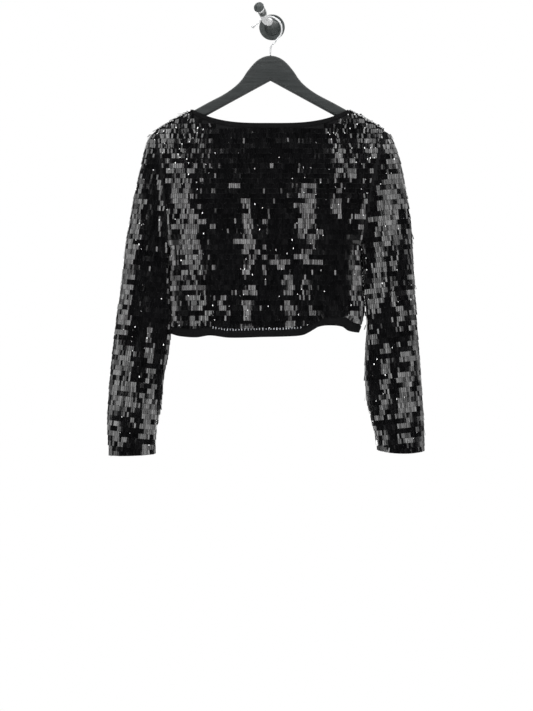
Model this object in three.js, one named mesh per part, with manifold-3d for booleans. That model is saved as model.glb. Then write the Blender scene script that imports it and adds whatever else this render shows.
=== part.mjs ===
// A long-sleeved cropped top with a boat neck, on a flat hanger that hangs from a wall hook.
//
// Millimetres. +Z is up, +X is to the right of someone who looks at the front of the top, and +Y
// goes into the wall. The origin is the centre of the wall plate's back face. The wearer's right
// sleeve is on the -X side. Every x in a table is measured from the hanger's centre line.

import * as THREE from "three";
import { mergeVertices } from "three/addons/utils/BufferGeometryUtils.js";
import Module from "manifold-3d";

// Driving sizes: cloth
const CLOTH = 2; // thickness of the sequined cloth
const SEAM = 0.3; // gap between two pieces that are sewn together
const TRIM = 1.2; // thickness of the plain edge strips
const HALF_NECK = 143; // from the centre line to where a shoulder seam starts
const NECK_POINT_Z = -165.1; // height of the top ends of the shoulder seams
const NECK_DROP = { front: 28, back: 22 }; // how far the neck edge dips at the centre
const NECK_CURVE = 3; // power of the neck curve: larger is flatter in the middle
const NECK_STAND = 10; // how far the neck edge stands off the hanger at the centre
const NECK_STAND_POWER = 1.5; // larger keeps more of the neck close to the hanger
const PANEL_DROP = 150; // below its top edge, where a panel has come to its full depth
const SIDE_CURVE = { power: 4, open: 0.6 }; // how a panel closes from its middle to its sides
const FOLD_START = 0.3; // share of a fold's length in which it grows from nothing
const PANEL_LONG = 387; // from the shoulder's height to the hem
const SHOULDER_TIP_Z = -203; // height of the outer ends of the shoulder seams
const SHOULDER_TIP_X = { minus: -209, plus: 207 };
const SHOULDER_BULGE = 1.8; // rise of the shoulder line above a straight one
const SHOULDER_REACH = 66; // level length of a shoulder seam
const ARMPIT_X = { minus: -185, plus: 165 };
const ARMHOLE_BOW = 5; // how far the armhole seam curves towards the centre line
const ARMHOLE_HALF_DEPTH = 22; // half of the armhole's width, front to back
const ARMHOLE_BLUNT = 0.38; // power of the armhole's outline: smaller is blunter
const SLEEVE_BLUNT = 0.3; // the same for a sleeve, from this section on
const SLEEVE_BLUNT_FROM = 4;
const CUFF_REACH = 0.2; // share of a sleeve in which its lower edge's dip comes in
const BACK_FOLD_SHARE = 0.8; // folds on the back of a sleeve against those on its front
const HUG = 8.8; // outer radius of the cloth where it folds over the hanger's arm
const HUG_POWER = 2.4;
const NECK_BAND = 9; // depth of the plain edge at the neck
const HEM_BAND = 13; // depth of the plain edge at the hem

// Driving sizes: hanger and its wire hook
const HANGER_X = -3; // the hanger's centre line
const HANGER_Y = -45; // the hanger's middle plane, in front of the wall
const HANGER_THICK = 12;
const HANGER_ROUND = { side: 5, edge: 4, steps: 3 }; // rounding of the edges: across, and along the face
const ARM_BELOW_RIDGE = 3.15; // from the shoulder line down to the top of the arm
const ARM_END = { x: 202.5, z: -214, r: 8.6, steps: 6 };
const ARM_STRAIGHT = { short: 4, steps: 4 }; // the arm's top ends this far before its round end
const UNDERSIDE = { apexZ: -111.8, slope: 0.545, short: 20 };
const WIRE_R = 1.6;
const LOOP = { x: -2.4, z: -17.7, r: 23.2 }; // centre line of the wire's round bend
const LOOP_TURN = { from: -50, to: 120, step: 17 }; // degrees
const WIRE_STEM = [{ x: 0, z: -56 }, { x: 1.2, z: -48.5 }, { x: 7, z: -42.5 }];
const WIRE_TIP = [{ x: -19.6, z: -2.2 }, { x: -26, z: -9.2 }, { x: -32.4, z: -12.8 }];
const WIRE_BALL_R = 3.2;
const WIRE_STEPS = 46;

// Driving sizes: wall hook
const PLATE_R = 24;
const PLATE_RIM = 3; // thickness at the rim
const STEM_STEPS = 8;
const ROD_STEPS = 18;
const ROD_SIDES = 20;
const CAP = { r: 9.4, neckR: 5, neckLong: 3, long: 7.5, edge: 1.2, dome: 4 };

// Side edges of the body below the armpits.
const SIDE_EDGES = [
  { z: -413, minus: -185, plus: 165 },
  { z: -454, minus: -183.5, plus: 166.5 },
  { z: -500, minus: -181.5, plus: 169.5 },
  { z: -531, minus: -180, plus: 171.5 },
  { z: -559, minus: -179.5, plus: 166 },
  { z: -575, minus: -180, plus: 160 },
];

// Lower edge of the body.
const HEM = [
  { x: -180, z: -575 },
  { x: -166, z: -579 },
  { x: -137, z: -581 },
  { x: -111, z: -577.5 },
  { x: -78, z: -581.5 },
  { x: -19, z: -580.5 },
  { x: 39, z: -578.8 },
  { x: 62, z: -576 },
  { x: 77, z: -568 },
  { x: 89, z: -561.4 },
  { x: 109, z: -559 },
  { x: 132, z: -561.4 },
  { x: 143, z: -569 },
  { x: 160, z: -573 },
];

// How far the middle of each panel stands from the hanger's plane.
const BODY_DEPTH = [
  { z: -190, front: 18, back: 16 },
  { z: -250, front: 22, back: 19 },
  { z: -330, front: 25, back: 22 },
  { z: -420, front: 27, back: 24 },
  { z: -500, front: 28, back: 25 },
  { z: -585, front: 29, back: 26 },
];

// Long hanging folds. A row is a ridge, or a trough where the rise is negative. It runs from its
// top to its foot, and its width is the distance in which it falls to about a third.
const FRONT_FOLDS = [
  { topX: -190, topZ: -235, footX: -128, footZ: -580, width: 20, rise: 7 },
  { topX: -150, topZ: -250, footX: -92, footZ: -580, width: 13, rise: -5 },
  { topX: -70, topZ: -285, footX: -48, footZ: -580, width: 16, rise: 6 },
  { topX: -18, topZ: -300, footX: -2, footZ: -580, width: 17, rise: -5 },
  { topX: 38, topZ: -265, footX: 66, footZ: -580, width: 17, rise: 7 },
  { topX: 92, topZ: -240, footX: 108, footZ: -580, width: 14, rise: -8 },
  { topX: 132, topZ: -225, footX: 142, footZ: -580, width: 14, rise: 6 },
];
const BACK_FOLDS = [
  { topX: -170, topZ: -240, footX: -140, footZ: -580, width: 18, rise: 6 },
  { topX: -118, topZ: -260, footX: -96, footZ: -580, width: 15, rise: -6 },
  { topX: -52, topZ: -290, footX: -60, footZ: -580, width: 18, rise: 5 },
  { topX: 4, topZ: -255, footX: -10, footZ: -580, width: 16, rise: -5 },
  { topX: 60, topZ: -280, footX: 48, footZ: -580, width: 19, rise: 6 },
  { topX: 104, topZ: -245, footX: 98, footZ: -580, width: 13, rise: -6 },
  { topX: 140, topZ: -230, footX: 136, footZ: -580, width: 15, rise: 5 },
];

// Sections of the sleeves after the armhole, each from the outer edge to the underarm edge.
const SLEEVE_MINUS = [
  { outerX: -220.7, outerZ: -215.2, innerX: -187.4, innerZ: -417, depth: 21.5 },
  { outerX: -228, outerZ: -236, innerX: -187.8, innerZ: -421, depth: 21 },
  { outerX: -235, outerZ: -264, innerX: -187.8, innerZ: -427, depth: 20.5 },
  { outerX: -242, outerZ: -295, innerX: -187.5, innerZ: -435, depth: 20 },
  { outerX: -249, outerZ: -326.5, innerX: -187, innerZ: -445, depth: 19.5 },
  { outerX: -256, outerZ: -367, innerX: -186.4, innerZ: -461, depth: 19 },
  { outerX: -264, outerZ: -412, innerX: -185.5, innerZ: -484, depth: 18.5 },
  { outerX: -271.2, outerZ: -477.4, innerX: -184.2, innerZ: -522, depth: 18 },
  { outerX: -280, outerZ: -541.7, innerX: -183.6, innerZ: -566, depth: 17.5 },
  { outerX: -287.1, outerZ: -600, innerX: -187, innerZ: -608, depth: 17 },
  { outerX: -293, outerZ: -658, innerX: -195.8, innerZ: -655, depth: 16.5 },
  { outerX: -296.5, outerZ: -708, innerX: -200.5, innerZ: -703, depth: 16 },
  { outerX: -297.2, outerZ: -752, innerX: -209, innerZ: -748, depth: 15.5 },
  { outerX: -293.9, outerZ: -796.5, innerX: -211.9, innerZ: -794, depth: 15.5 },
];
const SLEEVE_PLUS = [
  { outerX: 217.6, outerZ: -210.6, innerX: 167.5, innerZ: -416, depth: 21.5 },
  { outerX: 226.4, outerZ: -230.8, innerX: 168.6, innerZ: -420, depth: 21 },
  { outerX: 235.2, outerZ: -256, innerX: 169.2, innerZ: -426, depth: 20.5 },
  { outerX: 242.4, outerZ: -290, innerX: 169.6, innerZ: -434, depth: 20 },
  { outerX: 248.5, outerZ: -321.7, innerX: 170.2, innerZ: -444, depth: 19.5 },
  { outerX: 255, outerZ: -362, innerX: 171, innerZ: -458, depth: 19 },
  { outerX: 259, outerZ: -412, innerX: 172.4, innerZ: -480, depth: 18.5 },
  { outerX: 262.4, outerZ: -478, innerX: 174.6, innerZ: -515, depth: 18 },
  { outerX: 266.4, outerZ: -541, innerX: 177, innerZ: -558, depth: 17.5 },
  { outerX: 270, outerZ: -598, innerX: 174.4, innerZ: -602, depth: 17 },
  { outerX: 274.3, outerZ: -655, innerX: 173.4, innerZ: -650, depth: 16.5 },
  { outerX: 277.6, outerZ: -707, innerX: 177.6, innerZ: -700, depth: 16 },
  { outerX: 280.4, outerZ: -752, innerX: 189, innerZ: -748, depth: 15.5 },
  { outerX: 280.4, outerZ: -788.5, innerX: 196.7, innerZ: -786.7, depth: 15.5 },
];
const CUFF_SAG = { minus: 1.5, plus: 5 }; // how far the cuff's edge dips between its two sides

// Folds of the sleeves. `at` is the place across the sleeve, 0 at its outer edge and 1 at the
// underarm, at the two ends of the fold, and `from` and `to` are places along the sleeve.
const SLEEVE_FOLDS = [
  { atStart: 0.35, atEnd: 0.62, from: 0.04, to: 0.6, width: 0.12, rise: 5 },
  { atStart: 0.62, atEnd: 0.4, from: 0.18, to: 0.8, width: 0.09, rise: -4.5 },
  { atStart: 0.2, atEnd: 0.3, from: 0.45, to: 1.05, width: 0.1, rise: 4 },
  { atStart: 0.8, atEnd: 0.72, from: 0.5, to: 1.05, width: 0.09, rise: 3.5 },
];

// Rows of a body panel, as shares of the way from its top edge to the hem.
const ARMPIT_ROW = 0.565;
const NECK_BAND_ROW = NECK_BAND / PANEL_LONG;
const HEM_BAND_ROW = 1 - HEM_BAND / PANEL_LONG;
const BODY_ROWS = [
  0, 0.003, 0.011, NECK_BAND_ROW, 0.05, 0.11, 0.19, 0.29, 0.39, 0.475, 0.53, ARMPIT_ROW,
  0.62, 0.7, 0.79, 0.88, HEM_BAND_ROW, 1,
];
// Columns from an armhole to the shoulder seam's top end, as shares of that stretch, and from
// there inwards along the neck, in millimetres.
const SHOULDER_COLUMNS = [0, 0.07, 0.2, 0.4, 0.68];
const NECK_CORNER_COLUMNS = [0, 0.7, 2, 5, 10];
const NECK_MIDDLE_COLUMNS = 22;
const SLEEVE_COLUMNS = 12;
const SLEEVE_ROWS = 22;

function lerp(a, b, t) {
  return a + (b - a) * t;
}

function ease(t) {
  const x = Math.min(Math.max(t, 0), 1);
  return x * x * (3 - 2 * x);
}

// A column of a table at a key, on a smooth curve through the rows.
function along(table, keyName, key, column) {
  const falling = table[0][keyName] > table[table.length - 1][keyName];
  const rows = falling ? [...table].reverse() : table;
  const last = rows.length - 1;
  let i = 0;
  while (i < last - 1 && key > rows[i + 1][keyName]) {
    i += 1;
  }
  const slope = (j) => {
    const before = rows[Math.max(j - 1, 0)];
    const after = rows[Math.min(j + 1, last)];
    return (after[column] - before[column]) / (after[keyName] - before[keyName]);
  };
  const span = rows[i + 1][keyName] - rows[i][keyName];
  const t = Math.min(Math.max((key - rows[i][keyName]) / span, 0), 1);
  const t2 = t * t;
  const t3 = t2 * t;
  return (
    (2 * t3 - 3 * t2 + 1) * rows[i][column] +
    (t3 - 2 * t2 + t) * span * slope(i) +
    (3 * t2 - 2 * t3) * rows[i + 1][column] +
    (t3 - t2) * span * slope(i + 1)
  );
}

// Cloth that folds over the hanger's arm: how far it stands out at a depth under the ridge.
function hug(below) {
  const u = Math.min(Math.max(below / HUG, 0), 1);
  return HUG * Math.pow(1 - Math.pow(1 - u, HUG_POWER), 1 / HUG_POWER);
}

// The shoulder line. Towards the centre it goes on as a straight line, above the neck edge.
function ridgeZ(x) {
  const share = (Math.abs(x) - HALF_NECK) / SHOULDER_REACH;
  const bulge = share > 0 && share < 1 ? SHOULDER_BULGE * 4 * share * (1 - share) : 0;
  return lerp(NECK_POINT_Z, SHOULDER_TIP_Z, share) + bulge;
}

function topEdgeZ(x, panel) {
  const share = Math.abs(x) / HALF_NECK;
  if (share >= 1) {
    return ridgeZ(x);
  }
  return NECK_POINT_Z - NECK_DROP[panel] * (1 - Math.pow(share, NECK_CURVE));
}

// The armhole seam, from the shoulder tip (t = 0) to the armpit (t = 1).
function armholePoint(side, t) {
  const tipZ = SHOULDER_TIP_Z;
  const hemZ = side === "minus" ? HEM[0].z : HEM[HEM.length - 1].z;
  const inward = side === "minus" ? 1 : -1;
  const bow = inward * ARMHOLE_BOW * 4 * t * (1 - t);
  return {
    x: lerp(SHOULDER_TIP_X[side], ARMPIT_X[side], t) + bow,
    z: lerp(tipZ, lerp(tipZ, hemZ, ARMPIT_ROW), t),
  };
}

function tubeDepth(t, half, power) {
  return half * Math.pow(Math.max(4 * t * (1 - t), 0), power);
}

function armholeDepth(t) {
  return tubeDepth(t, ARMHOLE_HALF_DEPTH, ARMHOLE_BLUNT);
}

// Outward direction of the cloth at the armhole, within the armhole's own plane.
function armholeNormal(side, t, facing) {
  const top = armholePoint(side, 0);
  const foot = armholePoint(side, 1);
  const down = new THREE.Vector3(foot.x - top.x, 0, foot.z - top.z);
  const long = down.length();
  down.normalize();
  if (t <= 0 || t >= 1) {
    return down.multiplyScalar(t <= 0 ? -1 : 1);
  }
  const step = Math.min(0.002, t / 2, (1 - t) / 2);
  const rate = (armholeDepth(t + step) - armholeDepth(t - step)) / (2 * step * long);
  return down.multiplyScalar(-rate).add(new THREE.Vector3(0, facing, 0)).normalize();
}

// Outward directions at the points of a sheet, from the neighbouring points.
function sheetNormals(points, facing) {
  const lastRow = points.length - 1;
  const lastColumn = points[0].length - 1;
  const normals = points.map((row, j) =>
    row.map((point, i) => {
      const across = new THREE.Vector3().subVectors(
        points[j][Math.min(i + 1, lastColumn)],
        points[j][Math.max(i - 1, 0)],
      );
      const down = new THREE.Vector3().subVectors(
        points[Math.min(j + 1, lastRow)][i],
        points[Math.max(j - 1, 0)][i],
      );
      return down.cross(across).normalize();
    }),
  );
  const middle = normals[Math.round(lastRow / 2)][Math.round(lastColumn / 2)];
  if (middle.y * facing < 0) {
    normals.flat().forEach((normal) => normal.negate());
  }
  return normals;
}

// At a seam between front and back the wall is cut along the plane of the seam.
function squareToSeam(normal) {
  normal.y = 0;
  normal.normalize();
}

// A closed wall between two copies of a sheet, moved along its normals by `low` and `high`.
function wallGeometry(sheet, low, high) {
  const rows = sheet.points.length;
  const columns = sheet.points[0].length;
  const positions = [];
  for (const shift of [high, low]) {
    for (let j = 0; j < rows; j += 1) {
      for (let i = 0; i < columns; i += 1) {
        const point = sheet.points[j][i].clone().addScaledVector(sheet.normals[j][i], shift);
        positions.push(point.x, point.y, point.z);
      }
    }
  }
  const index = [];
  const at = (layer, j, i) => layer * rows * columns + j * columns + i;
  const quad = (a, b, c, d) => index.push(a, b, c, a, c, d);
  for (let j = 0; j < rows - 1; j += 1) {
    for (let i = 0; i < columns - 1; i += 1) {
      quad(at(0, j, i), at(0, j + 1, i), at(0, j + 1, i + 1), at(0, j, i + 1));
      quad(at(1, j, i), at(1, j, i + 1), at(1, j + 1, i + 1), at(1, j + 1, i));
    }
  }
  for (let j = 0; j < rows - 1; j += 1) {
    const end = columns - 1;
    quad(at(0, j, 0), at(1, j, 0), at(1, j + 1, 0), at(0, j + 1, 0));
    quad(at(0, j, end), at(0, j + 1, end), at(1, j + 1, end), at(1, j, end));
  }
  for (let i = 0; i < columns - 1; i += 1) {
    const end = rows - 1;
    quad(at(0, 0, i), at(0, 0, i + 1), at(1, 0, i + 1), at(1, 0, i));
    quad(at(0, end, i), at(1, end, i), at(1, end, i + 1), at(0, end, i + 1));
  }
  const geometry = new THREE.BufferGeometry();
  geometry.setAttribute("position", new THREE.Float32BufferAttribute(positions, 3));
  geometry.setIndex(signedVolume(positions, index) < 0 ? index.reverse() : index);
  return geometry;
}

function signedVolume(positions, index) {
  const corner = (k) => new THREE.Vector3().fromArray(positions, 3 * index[k]);
  let six = 0;
  for (let k = 0; k < index.length; k += 3) {
    six += corner(k).dot(corner(k + 1).cross(corner(k + 2)));
  }
  return six / 6;
}

function pickRows(sheet, firstRow, lastRow, firstColumn, lastColumn) {
  const pick = (grid) =>
    grid.slice(firstRow, lastRow + 1).map((row) => row.slice(firstColumn, lastColumn + 1));
  return { points: pick(sheet.points), normals: pick(sheet.normals) };
}

// Body panels
function bodyColumns() {
  const reach = SHOULDER_TIP_X.plus - SHOULDER_TIP_X.minus;
  const neckLeft = -HALF_NECK;
  const neckRight = HALF_NECK;
  const xs = [];
  for (const share of SHOULDER_COLUMNS) {
    xs.push(lerp(SHOULDER_TIP_X.minus, neckLeft, share));
  }
  for (const inwards of NECK_CORNER_COLUMNS) {
    xs.push(neckLeft + inwards);
  }
  const corner = NECK_CORNER_COLUMNS[NECK_CORNER_COLUMNS.length - 1];
  for (let i = 1; i < NECK_MIDDLE_COLUMNS; i += 1) {
    xs.push(lerp(neckLeft + corner, neckRight - corner, i / NECK_MIDDLE_COLUMNS));
  }
  for (const inwards of [...NECK_CORNER_COLUMNS].reverse()) {
    xs.push(neckRight - inwards);
  }
  for (const share of [...SHOULDER_COLUMNS].reverse()) {
    xs.push(lerp(SHOULDER_TIP_X.plus, neckRight, share));
  }
  return xs.map((x) => (x - SHOULDER_TIP_X.minus) / reach);
}

function sideEdgeX(side, row) {
  if (row <= ARMPIT_ROW) {
    return armholePoint(side, row / ARMPIT_ROW).x;
  }
  const hemZ = side === "minus" ? HEM[0].z : HEM[HEM.length - 1].z;
  return along(SIDE_EDGES, "z", lerp(SHOULDER_TIP_Z, hemZ, row), side);
}

function foldRise(folds, x, z) {
  let rise = 0;
  for (const fold of folds) {
    const share = (fold.topZ - z) / (fold.topZ - fold.footZ);
    const away = (x - lerp(fold.topX, fold.footX, share)) / fold.width;
    rise += fold.rise * Math.exp(-away * away) * ease(share / FOLD_START);
  }
  return rise;
}

function bodySheet(panel) {
  const facing = panel === "front" ? -1 : 1;
  const folds = panel === "front" ? FRONT_FOLDS : BACK_FOLDS;
  const columns = bodyColumns();
  const points = BODY_ROWS.map((row) => {
    const left = sideEdgeX("minus", row);
    const right = sideEdgeX("plus", row);
    const edgeDepth = row < ARMPIT_ROW ? armholeDepth(row / ARMPIT_ROW) : 0;
    return columns.map((column) => {
      const topX = lerp(SHOULDER_TIP_X.minus, SHOULDER_TIP_X.plus, column);
      const topZ = topEdgeZ(topX, panel);
      const hemX = lerp(HEM[0].x, HEM[HEM.length - 1].x, column);
      const z = lerp(topZ, along(HEM, "x", hemX, "z"), row);
      const x = lerp(left, right, column);
      const out = Math.abs(2 * column - 1);
      // 1 in the middle, 0 at the side edges
      const open = Math.pow(1 - Math.pow(out, SIDE_CURVE.power), SIDE_CURVE.open);
      const drop = ease((topZ - z) / PANEL_DROP);
      const neckShare = Math.min(Math.abs(topX) / HALF_NECK, 1);
      const stand = NECK_STAND * Math.pow(1 - neckShare * neckShare, NECK_STAND_POWER);
      const middleDepth = along(BODY_DEPTH, "z", z, panel) - HUG;
      const inner =
        hug(ridgeZ(topX) - z) + lerp(stand, middleDepth, drop) + foldRise(folds, x, z);
      const depth = lerp(edgeDepth, inner, open) + SEAM / 2;
      return new THREE.Vector3(HANGER_X + x, HANGER_Y + facing * depth, z);
    });
  });
  const normals = sheetNormals(points, facing);
  const lastColumn = columns.length - 1;
  columns.forEach((column, i) => {
    const topX = lerp(SHOULDER_TIP_X.minus, SHOULDER_TIP_X.plus, column);
    if (Math.abs(topX) > HALF_NECK - 0.01) {
      squareToSeam(normals[0][i]);
    }
  });
  BODY_ROWS.forEach((row, j) => {
    if (row > 0 && row < ARMPIT_ROW) {
      normals[j][0].copy(armholeNormal("minus", row / ARMPIT_ROW, facing));
      normals[j][lastColumn].copy(armholeNormal("plus", row / ARMPIT_ROW, facing));
    } else if (row >= ARMPIT_ROW) {
      squareToSeam(normals[j][0]);
      squareToSeam(normals[j][lastColumn]);
    }
  });
  return { points, normals };
}

// Sleeves
function sleeveSheet(side, facing) {
  const table = side === "minus" ? SLEEVE_MINUS : SLEEVE_PLUS;
  const outward = side === "minus" ? -1 : 1;
  const tip = armholePoint(side, 0);
  const pit = armholePoint(side, 1);
  const armhole = {
    outerX: tip.x, outerZ: tip.z, innerX: pit.x, innerZ: pit.z, depth: ARMHOLE_HALF_DEPTH,
  };
  const sections = [armhole, ...table].map((section, place) => ({ ...section, place }));
  const lastSection = sections.length - 1;
  const points = [];
  for (let j = 0; j <= SLEEVE_ROWS; j += 1) {
    const share = j / SLEEVE_ROWS;
    const place = share * lastSection;
    const value = (column) => along(sections, "place", place, column);
    const bow = -outward * ARMHOLE_BOW * Math.max(1 - place, 0);
    const power = lerp(ARMHOLE_BLUNT, SLEEVE_BLUNT, ease(place / SLEEVE_BLUNT_FROM));
    const sag = CUFF_SAG[side] * ease((share - 1 + CUFF_REACH) / CUFF_REACH);
    const row = [];
    for (let i = 0; i <= SLEEVE_COLUMNS; i += 1) {
      const t = (1 - Math.cos((Math.PI * i) / SLEEVE_COLUMNS)) / 2;
      const arch = 4 * t * (1 - t);
      const rise = j === 0 ? 0 : sleeveFoldRise(share, t, facing) * Math.sqrt(arch);
      const depth = tubeDepth(t, value("depth"), power) + rise + SEAM / 2;
      const x = lerp(value("outerX"), value("innerX"), t) + bow * arch;
      const z = lerp(value("outerZ"), value("innerZ"), t) - sag * arch;
      const seamX = j === 0 ? outward * SEAM : 0;
      row.push(new THREE.Vector3(HANGER_X + x + seamX, HANGER_Y + facing * depth, z));
    }
    points.push(row);
  }
  const normals = sheetNormals(points, facing);
  normals.forEach((row, j) => {
    row.forEach((normal, i) => {
      if (j === 0) {
        const t = (1 - Math.cos((Math.PI * i) / SLEEVE_COLUMNS)) / 2;
        normal.copy(armholeNormal(side, t, facing));
      } else if (i === 0 || i === SLEEVE_COLUMNS) {
        squareToSeam(normal);
      }
    });
  });
  return { points, normals };
}

// The back of a sleeve has the same folds as its front, mirrored across and less deep.
function sleeveFoldRise(share, t, facing) {
  const across = facing < 0 ? t : 1 - t;
  let rise = 0;
  for (const fold of SLEEVE_FOLDS) {
    const run = (share - fold.from) / (fold.to - fold.from);
    if (run > 0 && run < 1) {
      const away = (across - lerp(fold.atStart, fold.atEnd, run)) / fold.width;
      rise += fold.rise * Math.exp(-away * away) * Math.sin(Math.PI * run);
    }
  }
  return facing < 0 ? rise : BACK_FOLD_SHARE * rise;
}

// Hanger: a flat piece with rounded edges
const HANGER_TOP = [
  { x: 0, z: -66.6 },
  { x: 14.5, z: -69.4 },
  { x: 27.8, z: -78.1 },
  { x: 42.3, z: -94.8 },
  { x: 51.1, z: -108.1 },
  { x: 62.2, z: -120.3 },
  { x: 83.3, z: -135.8 },
  { x: 114.6, z: -152.4 },
  { x: 138, z: -165.4 },
];

function hangerHalfOutline() {
  const half = HANGER_TOP.map((row) => new THREE.Vector2(row.x, row.z));
  for (let i = 0; i <= ARM_STRAIGHT.steps; i += 1) {
    const x = lerp(HALF_NECK, ARM_END.x - ARM_STRAIGHT.short, i / ARM_STRAIGHT.steps);
    half.push(new THREE.Vector2(x, ridgeZ(x) - ARM_BELOW_RIDGE));
  }
  const tilt = Math.atan(UNDERSIDE.slope);
  for (let i = 0; i <= ARM_END.steps; i += 1) {
    const angle = lerp(Math.PI / 2 - tilt, -Math.PI / 2 - tilt, i / ARM_END.steps);
    half.push(
      new THREE.Vector2(
        ARM_END.x + ARM_END.r * Math.cos(angle),
        ARM_END.z + ARM_END.r * Math.sin(angle),
      ),
    );
  }
  return half;
}

function hangerGeometry() {
  const plus = hangerHalfOutline();
  const minus = plus.slice(1).reverse().map((p) => new THREE.Vector2(-p.x, p.y));
  const outline = [...minus, ...plus];
  const underX = ARM_END.x - UNDERSIDE.short;
  const apex = new THREE.Vector2(0, UNDERSIDE.apexZ);
  const underZ = UNDERSIDE.apexZ - UNDERSIDE.slope * underX;
  outline.push(new THREE.Vector2(underX, underZ), apex, new THREE.Vector2(-underX, underZ));
  const geometry = new THREE.ExtrudeGeometry(new THREE.Shape(outline), {
    depth: HANGER_THICK - 2 * HANGER_ROUND.side,
    bevelThickness: HANGER_ROUND.side,
    bevelSize: HANGER_ROUND.edge,
    bevelOffset: -HANGER_ROUND.edge,
    bevelSegments: HANGER_ROUND.steps,
  });
  geometry.translate(0, 0, HANGER_ROUND.side - HANGER_THICK / 2);
  geometry.rotateX(Math.PI / 2);
  geometry.translate(HANGER_X, HANGER_Y, 0);
  return geometry;
}

// Wire hook of the hanger: a stem, a round bend and a flared tip with a ball
function wireGeometry(wasm) {
  const route = [{ x: 0, z: HANGER_TOP[0].z + SEAM }, ...WIRE_STEM];
  for (let turn = LOOP_TURN.from; turn <= LOOP_TURN.to; turn += LOOP_TURN.step) {
    const angle = THREE.MathUtils.degToRad(turn);
    route.push({
      x: LOOP.x + LOOP.r * Math.cos(angle),
      z: LOOP.z + LOOP.r * Math.sin(angle),
    });
  }
  route.push(...WIRE_TIP);
  const points = route.map(({ x, z }) => new THREE.Vector3(HANGER_X + x, HANGER_Y, z));
  const circle = new THREE.Shape();
  circle.absarc(0, 0, WIRE_R, 0, 2 * Math.PI);
  const wire = new THREE.ExtrudeGeometry(circle, {
    curveSegments: 4,
    steps: WIRE_STEPS,
    extrudePath: new THREE.CatmullRomCurve3(points, false, "centripetal"),
  });
  const ball = new THREE.SphereGeometry(WIRE_BALL_R, 12, 8);
  const tip = points[points.length - 1];
  ball.translate(tip.x, tip.y, tip.z);
  return fromSolid(toSolid(wasm, wire).add(toSolid(wasm, ball)));
}

function toSolid(wasm, geometry) {
  const plain = geometry.clone();
  plain.deleteAttribute("normal");
  plain.deleteAttribute("uv");
  const merged = mergeVertices(plain, 1e-4);
  return new wasm.Manifold(
    new wasm.Mesh({
      numProp: 3,
      vertProperties: new Float32Array(merged.attributes.position.array),
      triVerts: new Uint32Array(merged.index.array),
    }),
  );
}

function fromSolid(solid) {
  const mesh = solid.getMesh();
  const geometry = new THREE.BufferGeometry();
  geometry.setAttribute("position", new THREE.BufferAttribute(mesh.vertProperties, 3));
  geometry.setIndex(new THREE.BufferAttribute(mesh.triVerts, 1));
  return geometry;
}

// Wall hook: a round plate with a flared stem, a bent rod that dips for the hanger, and a cap
const HOOK_ROUTE = [
  { x: 0, y: -2.6, z: 0, r: 15.5 },
  { x: -0.4, y: -6, z: 0.2, r: 13 },
  { x: -1.3, y: -12, z: 0.7, r: 9.6 },
  { x: -3.2, y: -20, z: 1.6, r: 7.8 },
  { x: -5.5, y: -27, z: 1.8, r: 7 },
  { x: -8, y: -35, z: -0.4, r: 6.3 },
  { x: -10.5, y: -45, z: -3.6, r: 6 },
  { x: -13.3, y: -54, z: -2.4, r: 6.4 },
  { x: -16.3, y: -65, z: 3, r: 7 },
  { x: -19.4, y: -75, z: 6.4, r: 7.4 },
  { x: -22, y: -83.5, z: 7, r: 7.6 },
];
const STEM_END = 4; // row at which the stem ends and the rod begins
const ROD_START = STEM_END + 0.055; // leaves a seam's gap after the stem
const hookCurve = new THREE.CatmullRomCurve3(
  HOOK_ROUTE.map((row) => new THREE.Vector3(row.x, row.y, row.z)),
  false,
  "centripetal",
);

// Tube along the hook's centre line, between two places counted in rows of its table
function taperedTube(from, to, steps) {
  const zAxis = new THREE.Vector3(0, 0, 1);
  const lastRow = HOOK_ROUTE.length - 1;
  const points = [];
  const index = [];
  for (let j = 0; j <= steps; j += 1) {
    const place = lerp(from, to, j / steps);
    const row = Math.min(Math.floor(place), lastRow - 1);
    const radius = lerp(HOOK_ROUTE[row].r, HOOK_ROUTE[row + 1].r, place - row);
    const centre = hookCurve.getPoint(place / lastRow);
    const ahead = hookCurve.getTangent(place / lastRow);
    const across = ahead.clone().cross(zAxis).normalize();
    const above = across.clone().cross(ahead);
    for (let k = 0; k < ROD_SIDES; k += 1) {
      const angle = (2 * Math.PI * k) / ROD_SIDES;
      const point = centre.clone();
      point.addScaledVector(across, radius * Math.cos(angle));
      point.addScaledVector(above, radius * Math.sin(angle));
      points.push(point.x, point.y, point.z);
    }
  }
  for (let j = 0; j < steps; j += 1) {
    for (let k = 0; k < ROD_SIDES; k += 1) {
      const next = (k + 1) % ROD_SIDES;
      const a = j * ROD_SIDES + k;
      const b = j * ROD_SIDES + next;
      index.push(a, a + ROD_SIDES, b + ROD_SIDES, a, b + ROD_SIDES, b);
    }
  }
  const last = steps * ROD_SIDES;
  for (let k = 1; k < ROD_SIDES - 1; k += 1) {
    index.push(0, k, k + 1);
    index.push(last, last + k + 1, last + k);
  }
  const geometry = new THREE.BufferGeometry();
  geometry.setAttribute("position", new THREE.Float32BufferAttribute(points, 3));
  geometry.setIndex(index);
  return geometry;
}

function plateGeometry(wasm) {
  const profile = [
    new THREE.Vector2(0, 0),
    new THREE.Vector2(PLATE_R, 0),
    new THREE.Vector2(PLATE_R, PLATE_RIM - 1),
    new THREE.Vector2(PLATE_R - 1, PLATE_RIM),
    new THREE.Vector2(0, PLATE_RIM),
  ];
  const plate = new THREE.LatheGeometry(profile, 32);
  plate.rotateX(Math.PI);
  const stem = taperedTube(0, STEM_END, STEM_STEPS);
  return fromSolid(toSolid(wasm, plate).add(toSolid(wasm, stem)));
}

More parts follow.
